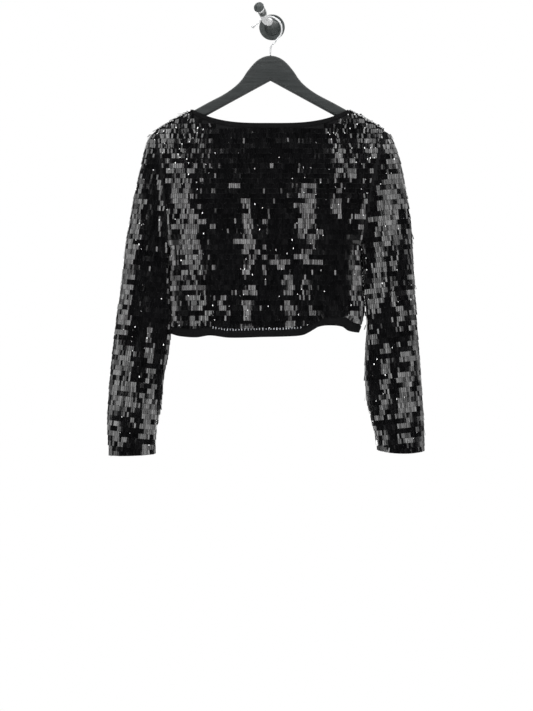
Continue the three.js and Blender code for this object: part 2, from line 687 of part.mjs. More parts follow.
function capGeometry() {
  const neckEnd = CAP.neckLong;
  const end = neckEnd + CAP.long;
  const profile = [
    [0, 0],
    [CAP.neckR, 0],
    [CAP.neckR, neckEnd],
    [CAP.r - CAP.edge, neckEnd],
    [CAP.r, neckEnd + CAP.edge],
    [CAP.r, end - CAP.dome],
    [0.85 * CAP.r, end - 0.45 * CAP.dome],
    [0.5 * CAP.r, end - 0.1 * CAP.dome],
    [0, end],
  ].map(([r, y]) => new THREE.Vector2(r, y));
  return new THREE.LatheGeometry(profile, 24);
}

// Materials
const sequinCloth = new THREE.MeshStandardMaterial({
  color: 0x1c1c1e, roughness: 0.35, metalness: 0.2,
});
const plainCloth = new THREE.MeshStandardMaterial({
  color: 0x141416, roughness: 0.75, metalness: 0,
});
const darkWood = new THREE.MeshStandardMaterial({
  color: 0x3b3d3d, roughness: 0.5, metalness: 0,
});
const brightSteel = new THREE.MeshStandardMaterial({
  color: 0xd8d8d8, roughness: 0.15, metalness: 1,
});
const darkSteel = new THREE.MeshStandardMaterial({
  color: 0x505656, roughness: 0.3, metalness: 0.9,
});

const top = new THREE.Group();

function addPiece(name, geometry, material) {
  const mesh = new THREE.Mesh(geometry, material);
  mesh.name = name;
  top.add(mesh);
  return mesh;
}

function addBody() {
  const columns = bodyColumns();
  const neckStart = SHOULDER_COLUMNS.length;
  const neckEnd = columns.length - 1 - neckStart;
  const bandRow = BODY_ROWS.indexOf(NECK_BAND_ROW);
  const hemRow = BODY_ROWS.indexOf(HEM_BAND_ROW);
  for (const panel of ["front", "back"]) {
    const sheet = bodySheet(panel);
    addPiece(panel, wallGeometry(sheet, -CLOTH, 0), sequinCloth);
    const neck = pickRows(sheet, 0, bandRow, neckStart, neckEnd);
    addPiece(`neck_band_${panel}`, wallGeometry(neck, SEAM, SEAM + TRIM), plainCloth);
    const hem = pickRows(sheet, hemRow, BODY_ROWS.length - 1, 0, columns.length - 1);
    addPiece(`hem_band_${panel}`, wallGeometry(hem, SEAM, SEAM + TRIM), plainCloth);
  }
}

function addSleeves() {
  for (const [side, name] of [["minus", "right"], ["plus", "left"]]) {
    for (const [facing, half] of [[-1, "front"], [1, "back"]]) {
      const sheet = sleeveSheet(side, facing);
      addPiece(`sleeve_${name}_${half}`, wallGeometry(sheet, -CLOTH, 0), sequinCloth);
    }
  }
}

function addHangerAndHook(wasm) {
  addPiece("hanger", hangerGeometry(), darkWood);
  addPiece("hanger_hook", wireGeometry(wasm), brightSteel);
  addPiece("wall_plate", plateGeometry(wasm), darkSteel);
  const rodEnd = HOOK_ROUTE.length - 1;
  addPiece("hook_rod", taperedTube(ROD_START, rodEnd, ROD_STEPS), brightSteel);
  const cap = addPiece("hook_cap", capGeometry(), darkSteel);
  const direction = hookCurve.getTangent(1).normalize();
  cap.quaternion.setFromUnitVectors(new THREE.Vector3(0, 1, 0), direction);
  cap.position.copy(hookCurve.getPoint(1)).addScaledVector(direction, SEAM);
}

const wasm = await Module();
wasm.setup();
addBody();
addSleeves();
addHangerAndHook(wasm);

export default top;
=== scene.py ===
import math

import bmesh
import bpy
import numpy as np
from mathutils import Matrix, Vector


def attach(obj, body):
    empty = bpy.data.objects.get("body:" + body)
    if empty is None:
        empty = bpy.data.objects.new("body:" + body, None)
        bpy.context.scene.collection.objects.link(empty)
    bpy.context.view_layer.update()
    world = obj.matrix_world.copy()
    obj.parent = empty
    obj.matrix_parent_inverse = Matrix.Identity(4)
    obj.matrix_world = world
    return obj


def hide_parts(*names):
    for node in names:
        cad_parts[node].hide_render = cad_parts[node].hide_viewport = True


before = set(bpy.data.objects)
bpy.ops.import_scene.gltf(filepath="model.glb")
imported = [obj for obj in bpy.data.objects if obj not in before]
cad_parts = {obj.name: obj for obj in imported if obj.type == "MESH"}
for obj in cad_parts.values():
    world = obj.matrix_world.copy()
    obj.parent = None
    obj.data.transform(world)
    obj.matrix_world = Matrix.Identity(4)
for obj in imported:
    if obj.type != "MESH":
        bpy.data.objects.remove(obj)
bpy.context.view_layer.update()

# A sequined cropped top on a flat hanger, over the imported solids. Cloth is worked out in
# millimetres with the same sizes as the solids, and turned to metres where a mesh is made.
MM = 0.001
RANDOM = np.random.default_rng(11)
scene = bpy.context.scene


def add_object(name, data):
    made = bpy.data.objects.new(name, data)
    scene.collection.objects.link(made)
    return made


# The camera: 1.83 mm to a pixel in the hanger's plane, level with the picture's middle.
PHOTO_SIZE = (533, 711)
PHOTO_SCALE = 1.83
HANGER_X = -3
HANGER_Y = -45
CAMERA = (-0.0103, -1.895, -0.6145)
camera_data = bpy.data.cameras.new("camera")
camera_data.sensor_width = 36
camera_data.lens = 51.2
camera = add_object("camera", camera_data)
camera.location = CAMERA
camera.rotation_euler = (math.pi / 2, 0, 0)
bpy.context.scene.camera = camera

# Strip lights stand round the part at the sides. Each has its angle from the front or the back,
# its width in degrees and its brightness. The sequins of the lit bands turn to the first five.
MIDDLE = (-0.01, -0.045, -0.45)
STRIP_AWAY = 2.2
STRIP_TURN = math.radians(24)
STRIP_Z = 0.25
STRIP_TALL = 3.1
STRIPS = [
    (20, 2.4, 1.8), (22.4, 2.2, 3.2), (24.3, 1.4, 7), (26, 2, 4.2), (28.6, 3, 2.2),
    (42, 8, 2), (58, 9, 1.3),
]
TOP_LIGHT = (0.9, 1.75, 2.6, 1.5, 3.2)  # how far out and up, width, depth and brightness
# Four small lamps, each seen as a spark in the sequin ends that turn to it
LAMP = (1.3, 1.6, -0.78)
LAMP_WIDE = 0.24
LAMP_GLOW = 34
# Brightness of the surroundings, by how far a direction points into the wall
SURROUND = [(0, 0.012), (0.12, 0.25), (0.4, 1), (0.66, 1), (0.8, 0.06)]
VIEW_AWAY = 1850  # the camera's distance from the hanger's plane, in millimetres
FLOOR = [(-3500, -3500, -1400), (3500, -3500, -1400), (3500, 250, -1400), (-3500, 250, -1400)]
ENDS = ((-1, "front"), (1, "back"))
SIGN = {"minus": -1, "plus": 1}


def from_photo(px, py):
    """x from the hanger's centre line and z, in millimetres, of a pixel in the hanger's plane."""
    return (
        CAMERA[0] / MM + (px - PHOTO_SIZE[0] / 2) * PHOTO_SCALE - HANGER_X,
        (PHOTO_SIZE[1] / 2 - py) * PHOTO_SCALE + CAMERA[2] / MM,
    )


# Driving sizes of the cloth, as in the solids
HALF_NECK = 143
NECK_POINT_Z = -165.1
NECK_DROP = {"front": 28, "back": 22}
NECK_CURVE = 3.0
NECK_STAND = 10
SHOULDER_TIP_Z = -203
SHOULDER_TIP_X = {"minus": -209, "plus": 207}
SHOULDER_BULGE = 1.8
SHOULDER_REACH = 66
ARMPIT_X = {"minus": -185, "plus": 165}
ARMHOLE_BOW = 5
ARMHOLE_HALF_DEPTH = 22
ARMHOLE_BLUNT = 0.38
HUG = 8.8
HUG_POWER = 2.4
NECK_BAND = 9
HEM_BAND = 13
ARMPIT_ROW = 0.565
ROW_PITCH = 9.2
SEQUIN = {"wide": 3.15, "long": 9.1, "thick": 0.26, "side": 0.12, "bevel": 0.1}
ACROSS_PITCH = 3.45
SLEEVE_BLUNT = 0.3
SLEEVE_LEAN = math.radians(6)
# The sewn sequins fill the slit between body and sleeve: by how much, down to which share of
# the body and of the sleeve.
SIDE_SWELL = {"minus": (2, 1.1, 0.72), "plus": (1.4, 0.95, 0.62)}
CUFF_EDGE = 2.6
# How far the rows keep from the neck's band, the shoulder seams and the hem's band, and from a
# sleeve's ends
PANEL_ENDS = (0.3, 0.5, 1.6)
SLEEVE_ENDS = (1, 0.2)
SHOULDER_ROW = 1.6  # depth below the shoulder seams of the row of sequins that follows them
ABOVE_ALL = -1000  # a depth at which there is no cloth
CLOTH_FACES = (-0.5, -1.4)  # both faces of the cloth under the sequins, from the outer face
PLAIN_SHARE = {"panel": 0.45, "sleeve": 0.5}  # how far the sequins' base follows the folds
# How the sequins lie. A spread is in degrees, or a share of the tone: first what strings of
# neighbours share, and then each sequin's own.
STRING_END = 0.34  # the chance that a string ends at any sequin
TURN_SPREAD = (1.2, 1.3)
LIFT = 3
LIFT_SPREAD = (1.4, 1.6)
TONE_SPREAD = (0.2, 0.2)
ROLL = {"all": 1.3, "shoulder": 6}
STRAY = {"share": 0.02, "shoulder": 0.38, "turn": 15, "lift": (4, 13)}
PROUD = {"least": 0.1, "most": 1.6, "stray": 2.6}
LIT_CHANCE = {"near": 0.08, "all": 0.006}
# Where something begins, and over which length it grows: the shoulders' ruffled part, the upper
# part with more glints, and the own turn of the cloth at which sequins face aside or lie flat
RUFFLE_Z, RUFFLE_X, HIGH_Z = (-262, 45), (85, 40), (-330, 60)
ASIDE, FLAT = (-62, 20), (30, 28)
LIES = (0.4, 0.22)  # shares of the turn to the camera and of the cloth's own turn
GLINT_SHARE = np.array([0.006, 0.08, 0.035, 0.03])  # all over, shoulders, high, near a band
GLINT = {"end": (0.3, 0.46), "aim": 0.022, "wide": (0.4, 0.95), "long": (0.5, 1.6), "out": 0.55}
GLINT_TONE = (0, 0.3)
# A tape's section: distance from the cloth's edge as a share of its depth (below zero past the
# edge, in millimetres), and height above the cloth's outer face.
TAPE = [
    (1, 0.05), (0.985, 0.6), (0.93, 0.95), (0.75, 1.1), (0.5, 1.05), (0.25, 1.1), (0.06, 1),
    (-0.35, 0.6), (-0.6, -0.2), (-0.6, -1.3), (-0.3, -2), (0.06, -2.4), (0.4, -2.35),
    (0.9, -2.3), (1, -1.9), (1, -1.2),
]
STITCH_PITCH = 5.2
STITCH_UP = 0.7
STITCH_OUT = 1.3
STITCHES_FROM_TO = (213, 300)  # where they show, in the photo's pixels

# Driving sizes of the hanger and the hooks, as in the solids
HANGER_THICK = 12
HANGER_ROUND = (5, 4)
HANGER_TOP = {
    "x": [-27.8, -14.5, 0, 14.5, 27.8, 42.3, 51.1, 62.2, 83.3, 114.6, 138],
    "z": [-78.1, -69.4, -66.6, -69.4, -78.1, -94.8, -108.1, -120.3, -135.8, -152.4, -165.4],
}
ARM_BELOW_RIDGE = 3.15
ARM_RUN = (144, 198.5)
ARM_END = (202.5, -214, 8.6)
UNDERSIDE = (-111.8, 0.545, 20)
WIRE_R = 1.6
WIRE_LOOP = (-2.4, -17.7, 23.2)
WIRE_STEM = [(0, -66.3), (0, -56), (1.2, -48.5), (7, -42.5)]
WIRE_TURN = (-50, 121, 17)
WIRE_TIP = [(-19.6, -2.2), (-26, -9.2), (-32.4, -12.8)]
WIRE_BALL = 3.2
# The hook's centre line with its radius: the plate's stem up to the fifth row, then the rod
HOOK_ROUTE = [
    (0, -2.6, 0, 15.5), (-0.4, -6, 0.2, 13), (-1.3, -12, 0.7, 9.6), (-3.2, -20, 1.6, 7.8),
    (-5.5, -27, 1.8, 7), (-8, -35, -0.4, 6.3), (-10.5, -45, -3.6, 6), (-13.3, -54, -2.4, 6.4),
    (-16.3, -65, 3, 7), (-19.4, -75, 6.4, 7.4), (-22, -83.5, 7, 7.6),
]
STEM_END = 4
ROUTE_STEPS = 10
# Painted shade: where a dark ring runs along the hook's route near the rod's end, and how far it
# stands proud of the rod, in place of the groove's shade
GROOVE_SHADE_SPAN = slice(82, 98)
GROOVE_SHADE_PROUD = 0.18
# Turned profiles, as radius and distance from the wall or from the rod's end
PLATE = [
    (0, 0), (12, 0), (23.4, 0), (24, 0.5), (24, 2), (23.7, 2.7), (23, 3), (21.8, 3.1), (21, 3),
    (0, 3),
]
CAP_FACE = [
    (0, 0), (5, 0), (5, 6), (9.1, 6), (9.4, 6.3), (9.25, 6.9), (8.5, 7.7), (7.6, 8.3),
    (6.6, 8.9), (5.8, 9.4), (5.6, 9.1), (5.2, 9.2), (5, 9.7), (3.4, 10.2), (1.5, 10.45), (0, 10.5),
]
CAP_RIM = [(5.05, 3), (8.4, 3), (9.4, 3.9), (9.3, 5.6), (8.9, 5.9), (5.05, 5.9)]
CAP_GAP = 0.3

SIDE_EDGES = {
    "z": [-413, -454, -500, -531, -559, -575],
    "minus": [-185, -183.5, -181.5, -180, -179.5, -180],
    "plus": [165, 166.5, 169.5, 171.5, 166, 160],
}
HEM = {
    "x": [-180, -166, -137, -111, -78, -19, 39, 62, 77, 89, 109, 132, 143, 160],
    "z": [-575, -579, -581, -577.5, -581.5, -580.5, -578.8, -576, -568, -561.4, -559, -561.4,
          -569, -573],
}
BODY_DEPTH = {
    "z": [-190, -250, -330, -420, -500, -585],
    "front": [18, 22, 25, 27, 28, 29],
    "back": [16, 19, 22, 24, 25, 26],
}
# Hanging folds, each with its top, its foot, its width and its rise (a trough below zero). The
# first seven rows of a panel are the solid's, and the rest are finer creases.
FRONT_FOLDS = [
    (-190, -235, -128, -580, 20, 7), (-150, -250, -92, -580, 13, -5),
    (-70, -285, -48, -580, 16, 6), (-18, -300, -2, -580, 17, -5),
    (38, -265, 66, -580, 17, 7), (92, -240, 108, -580, 14, -8), (132, -225, 142, -580, 14, 6),
    (-158, -330, -166, -585, 7, -1.6), (-112, -400, -118, -585, 6, 1.2),
    (18, -380, 26, -585, 6, 1.3), (84, -430, 84, -585, 5, 1.1), (-36, -440, -28, -585, 6, -1.1),
]
BACK_FOLDS = [
    (-170, -240, -140, -580, 18, 6), (-118, -260, -96, -580, 15, -6),
    (-52, -290, -60, -580, 18, 5), (4, -255, -10, -580, 16, -5), (60, -280, 48, -580, 19, 6),
    (104, -245, 98, -580, 13, -6), (140, -230, 136, -580, 15, 5),
    (-30, -400, -34, -585, 6, 1.2), (80, -380, 76, -585, 7, -1.4), (24, -430, 20, -585, 6, 1.1),
    (-148, -360, -160, -585, 6, -1.2),
]
# Sections of the sleeves: the outer edge's x and z, the underarm's x and z, and the half depth
SLEEVES = {
    "minus": [
        (-220.7, -215.2, -187.4, -417, 21.5), (-228, -236, -187.8, -421, 21),
        (-235, -264, -187.8, -427, 20.5), (-242, -295, -187.5, -435, 20),
        (-249, -326.5, -187, -445, 19.5), (-256, -367, -186.4, -461, 19),
        (-264, -412, -185.5, -484, 18.5), (-271.2, -477.4, -184.2, -522, 18),
        (-280, -541.7, -183.6, -566, 17.5), (-287.1, -600, -187, -608, 17),
        (-293, -658, -195.8, -655, 16.5), (-296.5, -708, -200.5, -703, 16),
        (-297.2, -752, -209, -748, 15.5), (-293.9, -796.5, -211.9, -794, 15.5),
    ],
    "plus": [
        (217.6, -210.6, 167.5, -416, 21.5), (226.4, -230.8, 168.6, -420, 21),
        (235.2, -256, 169.2, -426, 20.5), (242.4, -290, 169.6, -434, 20),
        (248.5, -321.7, 170.2, -444, 19.5), (255, -362, 171, -458, 19),
        (259, -412, 172.4, -480, 18.5), (262.4, -478, 174.6, -515, 18),
        (266.4, -541, 177, -558, 17.5), (270, -598, 174.4, -602, 17),
        (274.3, -655, 173.4, -650, 16.5), (277.6, -707, 177.6, -700, 16),
        (280.4, -752, 189, -748, 15.5), (280.4, -788.5, 196.7, -786.7, 15.5),
    ],
}
CUFF_SAG = {"minus": 1.5, "plus": 5.0}
# Folds of a sleeve: place across (0 outer edge, 1 underarm) at both ends, from and to along it.
SLEEVE_FOLDS = [
    (0.35, 0.62, 0.04, 0.6, 0.12, 5), (0.62, 0.4, 0.18, 0.8, 0.09, -4.5),
    (0.2, 0.3, 0.45, 1.05, 0.1, 4), (0.8, 0.72, 0.5, 1.05, 0.09, 3.5),
]


def lerp(a, b, t):
    return a + (b - a) * t


def ease(t):
    x = np.clip(t, 0, 1)
    return x * x * (3 - 2 * x)


def past(value, start, blend):
    return ease((value - start) / blend)


def fades(t, over, blend):
    """1 where t is from 0 to 1, falling to 0 at a distance over both."""
    return past(t, -over, blend) * ease((1 + over - t) / blend)


def along(keys, values, key):
    """Values of a table at keys, on the same smooth curve through its rows as in the solids."""
    keys, values, key = (np.asarray(part, float) for part in (keys, values, key))
    if keys[0] > keys[-1]:
        keys, values = keys[::-1], values[::-1]
    last = len(keys) - 1
    i = np.clip(np.searchsorted(keys, key, side="left") - 1, 0, last - 1)
    rows = np.arange(last + 1)
    before, after = np.maximum(rows - 1, 0), np.minimum(rows + 1, last)
    slope = (values[after] - values[before]) / (keys[after] - keys[before])
    span = keys[i + 1] - keys[i]
    t = np.clip((key - keys[i]) / span, 0, 1)
    t2, t3 = t * t, t * t * t
    return (
        (2 * t3 - 3 * t2 + 1) * values[i]
        + (t3 - 2 * t2 + t) * span * slope[i]
        + (3 * t2 - 2 * t3) * values[i + 1]
        + (t3 - t2) * span * slope[i + 1]
    )


def hug(below):
    u = np.clip(below / HUG, 0, 1)
    return HUG * (1 - (1 - u) ** HUG_POWER) ** (1 / HUG_POWER)


def ridge_z(x):
    share = (np.abs(x) - HALF_NECK) / SHOULDER_REACH
    bulge = SHOULDER_BULGE * 4 * share * (1 - share)
    return lerp(NECK_POINT_Z, SHOULDER_TIP_Z, share) + np.maximum(bulge, 0)


def top_edge_z(x, panel):
    share = np.minimum(np.abs(x) / HALF_NECK, 1)
    neck = NECK_POINT_Z - NECK_DROP[panel] * (1 - share**NECK_CURVE)
    return np.where(np.abs(x) >= HALF_NECK, ridge_z(x), neck)


def hem_end_z(side):
    return HEM["z"][0 if side == "minus" else -1]


def armhole_point(side, t):
    pit_z = lerp(SHOULDER_TIP_Z, hem_end_z(side), ARMPIT_ROW)
    bow = -SIGN[side] * ARMHOLE_BOW * 4 * t * (1 - t)
    return lerp(SHOULDER_TIP_X[side], ARMPIT_X[side], t) + bow, lerp(SHOULDER_TIP_Z, pit_z, t)


def side_edge_x(side, row):
    above = armhole_point(side, np.minimum(row / ARMPIT_ROW, 1))[0]
    z = lerp(SHOULDER_TIP_Z, hem_end_z(side), row)
    below = along(SIDE_EDGES["z"], SIDE_EDGES[side], z)
    return np.where(row <= ARMPIT_ROW, above, below)


def fold_rise(folds, x, z):
    rise = np.zeros_like(x)
    for top_x, top_z, foot_x, foot_z, width, height in folds:
        share = (top_z - z) / (top_z - foot_z)
        away = (x - lerp(top_x, foot_x, share)) / width
        rise = rise + height * np.exp(-away * away) * ease(share / 0.3)
    return rise


def body_points(panel, row, column, folded=1.0):
    """Points of a panel's outer face: rows run from the top edge (0) to the hem (1), columns
    from the wearer's right (0) to the left (1). folded 0 leaves its folds out."""
    facing, folds = (-1, FRONT_FOLDS) if panel == "front" else (1, BACK_FOLDS)
    top_x = lerp(SHOULDER_TIP_X["minus"], SHOULDER_TIP_X["plus"], column)
    top_z = top_edge_z(top_x, panel)
    hem_x = lerp(HEM["x"][0], HEM["x"][-1], column)
    z = lerp(top_z, along(HEM["x"], HEM["z"], hem_x), row)
    x = lerp(side_edge_x("minus", row), side_edge_x("plus", row), column)
    out = np.abs(2 * column - 1)
    for side, sign in SIGN.items():
        swell, low, _ = SIDE_SWELL[side]
        way = sign * np.maximum(sign * (2 * column - 1), 0)
        x = x + swell * way * ease((row - 0.5) / 0.1) * ease((low - row) / 0.12)
    opened = (1 - np.minimum(out, 1) ** 4) ** 0.6
    t = np.clip(row / ARMPIT_ROW, 0, 1)
    edge = ARMHOLE_HALF_DEPTH * (4 * t * (1 - t)) ** ARMHOLE_BLUNT
    drop = ease((top_z - z) / 150)
    neck_share = np.minimum(np.abs(top_x) / HALF_NECK, 1)
    stand = NECK_STAND * (1 - neck_share**2) ** 1.5
    middle = along(BODY_DEPTH["z"], BODY_DEPTH[panel], z) - HUG
    inner = hug(ridge_z(top_x) - z) + lerp(stand, middle, drop)
    inner = inner + folded * fold_rise(folds, x, z)
    depth = lerp(edge, inner, opened) + 0.05
    return np.stack([HANGER_X + x, HANGER_Y + facing * depth, z], -1)


def sleeve_points(side, share, turn, folded=1.0):
    """Points of a sleeve's outer face, share along it and turn round it: the outer edge is at
    0 and 1, the front lies between 0 and a half, and the underarm is at a half."""
    outward = SIGN[side]
    armhole = (*armhole_point(side, 0.0), *armhole_point(side, 1.0), ARMHOLE_HALF_DEPTH)
    sections = np.array([armhole, *SLEEVES[side]], float)
    place = share * (len(sections) - 1)
    keys = np.arange(len(sections))
    outer_x, outer_z, inner_x, inner_z, half = (along(keys, part, place) for part in sections.T)
    angle = 2 * np.pi * turn
    t = (1 - np.cos(angle)) / 2
    facing = np.where(np.sin(angle) >= 0, -1.0, 1.0)
    arch = 4 * t * (1 - t)
    power = lerp(ARMHOLE_BLUNT, SLEEVE_BLUNT, ease(place / 4))
    across = np.where(facing < 0, t, 1 - t)
    rise = np.zeros_like(t)
    for at_start, at_end, start, end, width, height in SLEEVE_FOLDS:
        run = (share - start) / (end - start)
        away = (across - lerp(at_start, at_end, run)) / width
        bump = height * np.exp(-away * away) * np.sin(np.pi * np.clip(run, 0, 1))
        rise = rise + np.where((run > 0) & (run < 1), bump, 0)
    rise = np.where(facing < 0, 1.0, 0.8) * rise * folded * ease(share * 20)
    depth = half * arch**power + rise * np.sqrt(arch)
    bow = -outward * ARMHOLE_BOW * np.maximum(1 - place, 0)
    sag = CUFF_SAG[side] * ease((share - 0.8) / 0.2)
    seam = outward * 0.3 * ease(1 - share * 20)
    swell, _, low = SIDE_SWELL[side]
    swell = swell * ease((share - 0.03) / 0.08) * ease((low - share) / 0.12)
    swell = swell * ease((t - 0.7) / 0.3)
    x = lerp(outer_x, inner_x, t) + bow * arch + seam - outward * swell
    z = lerp(outer_z, inner_z, t) - sag * arch
    return np.stack([HANGER_X + x, HANGER_Y + facing * depth, z], -1)


def unit(v):
    return v / np.maximum(np.linalg.norm(v, axis=-1, keepdims=True), 1e-9)


def grid_normals(points, outward, closed=False):
    """Unit normals of a grid of points, turned to the side on which outward is positive."""
    if closed:
        across = np.roll(points, -1, 1) - np.roll(points, 1, 1)
    else:
        across = np.gradient(points, axis=1)
    down = np.gradient(points, axis=0)
    normals = unit(np.cross(down, across))
    return normals * np.sign((normals * outward).sum(-1).mean())


def mesh_object(name, points, faces, smooth=True):
    """A mesh object from points in millimetres."""
    mesh = bpy.data.meshes.new(name)
    mesh.from_pydata((np.asarray(points) * MM).tolist(), [], [list(map(int, f)) for f in faces])
    mesh.validate()
    mesh.polygons.foreach_set("use_smooth", [smooth] * len(mesh.polygons))
    mesh.update()
    return add_object(name, mesh)


def solid_object(name, points, faces):
    """A closed mesh object, with its faces turned outward."""
    piece = mesh_object(name, points, faces)
    work = bmesh.new()
    work.from_mesh(piece.data)
    bmesh.ops.recalc_face_normals(work, faces=work.faces)
    work.to_mesh(piece.data)
    work.free()
    return piece


def cells(rows, columns, across=False, down=False):
    """The corners of each cell of a grid that goes round across its columns or down its rows."""
    for j in range(rows if down else rows - 1):
        for i in range(columns if across else columns - 1):
            here, below, k = j * columns, (j + 1) % rows * columns, (i + 1) % columns
            yield here + i, here + k, below + k, below + i


def shell_object(name, points, normals, closed=False):
    """A closed thin wall between two copies of a grid, moved along its normals."""
    rows, columns = points.shape[:2]
    verts = np.concatenate([(points + normals * face).reshape(-1, 3) for face in CLOTH_FACES])
    count = rows * columns
    faces = []
    for a, b, c, d in cells(rows, columns, closed):
        faces += [(a, d, c, b), (a + count, b + count, c + count, d + count)]
    foot, rim = count - columns, []
    for i in range(columns if closed else columns - 1):
        k = (i + 1) % columns
        rim += [(i, k), (foot + k, foot + i)]
    if not closed:
        for a in range(0, foot, columns):
            b = a + columns
            rim += [(b, a), (b - 1, b - 1 + columns)]
    faces += [(a, b, b + count, a + count) for a, b in rim]
    return solid_object(name, verts, faces)


# Lit bands of the photo: sequins on the flanks of folds turn sideways. A row has a top and a
# foot in the photo's pixels, a half width in pixels and the share of its sequins that are lit,
# above zero where they turn to +X.
BODY_BANDS = [
    (163, 130, 180, 178, 8, -0.85), (180, 172, 186, 222, 9.5, -0.85),
    (186, 215, 193, 265, 10, -0.78), (193, 258, 202, 328, 9.5, -0.72),
    (159, 160, 167, 215, 1.8, -0.8), (167, 210, 175, 330, 3, -0.75),
    (246, 196, 248, 240, 4.5, 0.8), (249, 234, 250, 292, 6.5, 0.75),
    (250, 285, 247, 324, 5, 0.65), (266, 212, 264, 280, 2.2, 0.6), (308, 184, 306, 245, 8, -0.85),
    (307, 240, 306, 306, 5, -0.65), (283, 258, 292, 324, 6, 0.6), (340, 150, 335, 215, 5, 0.75),
    (366, 138, 374, 170, 6, 0.6), (346, 146, 352, 176, 5, 0.45), (354, 262, 351, 318, 2.2, 0.6),
    (221, 290, 226, 326, 5, -0.4), (366, 190, 360, 232, 3, 0.5),
]
SLEEVE_BANDS = [
    (140, 195, 136, 245, 4, -0.7), (134, 240, 129, 300, 5, -0.75), (127, 295, 122, 350, 6, -0.8),
    (125, 345, 123, 410, 9, -0.7), (151, 325, 152, 400, 4, 0.75), (152, 395, 149, 452, 7, 0.8),
    (134, 380, 131, 425, 4, 0.6), (118, 420, 120, 452, 5, -0.5), (160, 175, 163, 240, 2, 0.6),
    (392, 138, 393, 192, 10, 0.92), (388, 186, 386, 238, 12, 0.9), (381, 230, 377, 302, 7, 0.88),
    (394, 232, 391, 302, 3.5, 0.75), (412, 215, 416, 300, 2.2, 0.6), (373, 300, 374, 345, 4, 0.6),
    (384, 340, 383, 415, 5, 0.65), (398, 300, 399, 345, 3, 0.6), (405, 350, 402, 445, 7, 0.75),
    (382, 428, 384, 450, 5, 0.6), (419, 330, 421, 430, 2, 0.6),
]


def band_turn(bands, x, z):
    """Side to which the bands turn at points x from the hanger's centre (+X above zero), the
    share of sequins that are lit there, and how near a band (0 to 1) each point is."""
    side, core, near = np.zeros((3, len(x)))
    for top_x, top_y, foot_x, foot_y, half, strength in bands:
        start_x, start_z = from_photo(top_x, top_y)
        end_x, end_z = from_photo(foot_x, foot_y)
        run = (start_z - z) / (start_z - end_z)
        away = np.abs(x - lerp(start_x, end_x, run)) / (half * PHOTO_SCALE)
        share = ease((1.35 - away) / 0.7) * fades(run, 0.05, 0.1) * abs(strength)
        side = np.where(share > core, np.sign(strength), side)
        core = np.maximum(core, share)
        close = ease((3.4 - away) / 2.4) * fades(run, 0.25, 0.3)
        side = np.where((core == 0) & (close > near), np.sign(strength), side)
        near = np.maximum(near, close)
    return side, core, near


def lit_turn(x, side):
    """Turn in degrees at which a sequin at x shows the strip light at one side."""
    to_camera = np.arctan2(CAMERA[0] / MM - x, VIEW_AWAY)
    strip_x = MIDDLE[0] / MM + side * STRIP_AWAY / MM * math.sin(STRIP_TURN)
    to_strip = np.arctan2(strip_x - x, STRIP_AWAY / MM * math.cos(STRIP_TURN))
    return np.degrees(to_camera + to_strip) / 2, np.degrees(to_camera)


def row_places(points, down, at, limits, closed):
    """Places (row, column) in a grid for the sequins of the row at one depth or one depth a
    column, with the places just before and after each. limits are the least and greatest depth
    in each column."""
    rows, columns = points.shape[:2]
    at = np.broadcast_to(at, columns)
    crossing = np.array([np.interp(*pair, np.arange(rows)) for pair in zip(at, down.T)])
    inside = (limits[0] <= at) & (limits[1] >= at)
    start = int(np.argmin(inside)) if closed else 0
    count = columns + closed
    places, run = [], []
    for i in [*range(start, start + count), None]:
        if i is not None and inside[i % columns]:
            run.append((crossing[i % columns], i))
            if len(run) == 1 and (closed or i > 0):
                run.insert(0, row_end(crossing, limits, at, i, i - 1))
            continue
        if len(run) > 2:
            if i is not None:
                run.append(row_end(crossing, limits, at, i - 1, i))
            path = np.array([place for place in run if place is not None], float)
            steps = np.linalg.norm(np.diff(sample(points, path, closed), axis=0), axis=1)
            length = np.concatenate([[0], np.cumsum(steps)])
            first = ACROSS_PITCH * RANDOM.uniform(0.35, 0.75)
            spots = np.arange(first, length[-1] - ACROSS_PITCH * 0.3, ACROSS_PITCH)
            spots = spots[:, None] + np.array([[0, -0.8, 0.8]])
            places.append(np.stack([np.interp(spots, length, part) for part in path.T], -1))
        run = []
    return np.concatenate(places) if places else np.zeros((0, 3, 2))


def row_end(crossing, limits, at, last, after):
    """Where a row ends between its last column and the one after, which it doesn't reach."""
    a, b = last % len(at), after % len(at)
    if limits[0][a] <= at[a] <= limits[1][a] and limits[0][b] <= at[b] <= limits[1][b]:
        return None
    edge = limits[0] if limits[0][b] > at[b] else limits[1]
    share = min(max((at[a] - edge[a]) / (edge[b] - edge[a]), 0), 1)
    return lerp(crossing[a], crossing[b], share), lerp(last, after, share)


def sample(grid, places, closed=False):
    """A grid of vectors at fractional places. The columns of a closed one go round."""
    rows, columns = grid.shape[:2]
    row, column = places[:, 0], places[:, 1]
    if not closed:
        column = np.clip(column, 0, columns - 1.001)
    j = np.clip(np.floor(row).astype(int), 0, rows - 2)
    i = np.floor(column).astype(int)
    v, u = (row - j)[:, None], (column - i)[:, None]
    i, k = i % columns, (i + 1) % columns
    return lerp(lerp(grid[j, i], grid[j, k], u), lerp(grid[j + 1, i], grid[j + 1, k], u), v)


def grouped(count, width=None):
    """Random values that whole strings of neighbours share: normal ones, or even ones in 0 to 1
    where no width is given."""
    values = np.zeros(count)
    start = 0
    while start < count:
        long = int(RANDOM.geometric(STRING_END))
        values[start:start + long] = RANDOM.normal(0, width) if width else RANDOM.random()
        start += long
    return values


def spread(count, shared, own):
    """Random values that are in part shared by strings of neighbours."""
    return grouped(count, shared) + RANDOM.normal(0, own, count)


def rotated(first, second, angle):
    """Two unit vectors turned in their plane, the first towards the second, by degrees."""
    angle = np.radians(angle)[:, None]
    c, s = np.cos(angle), np.sin(angle)
    return first * c + second * s, second * c - first * s


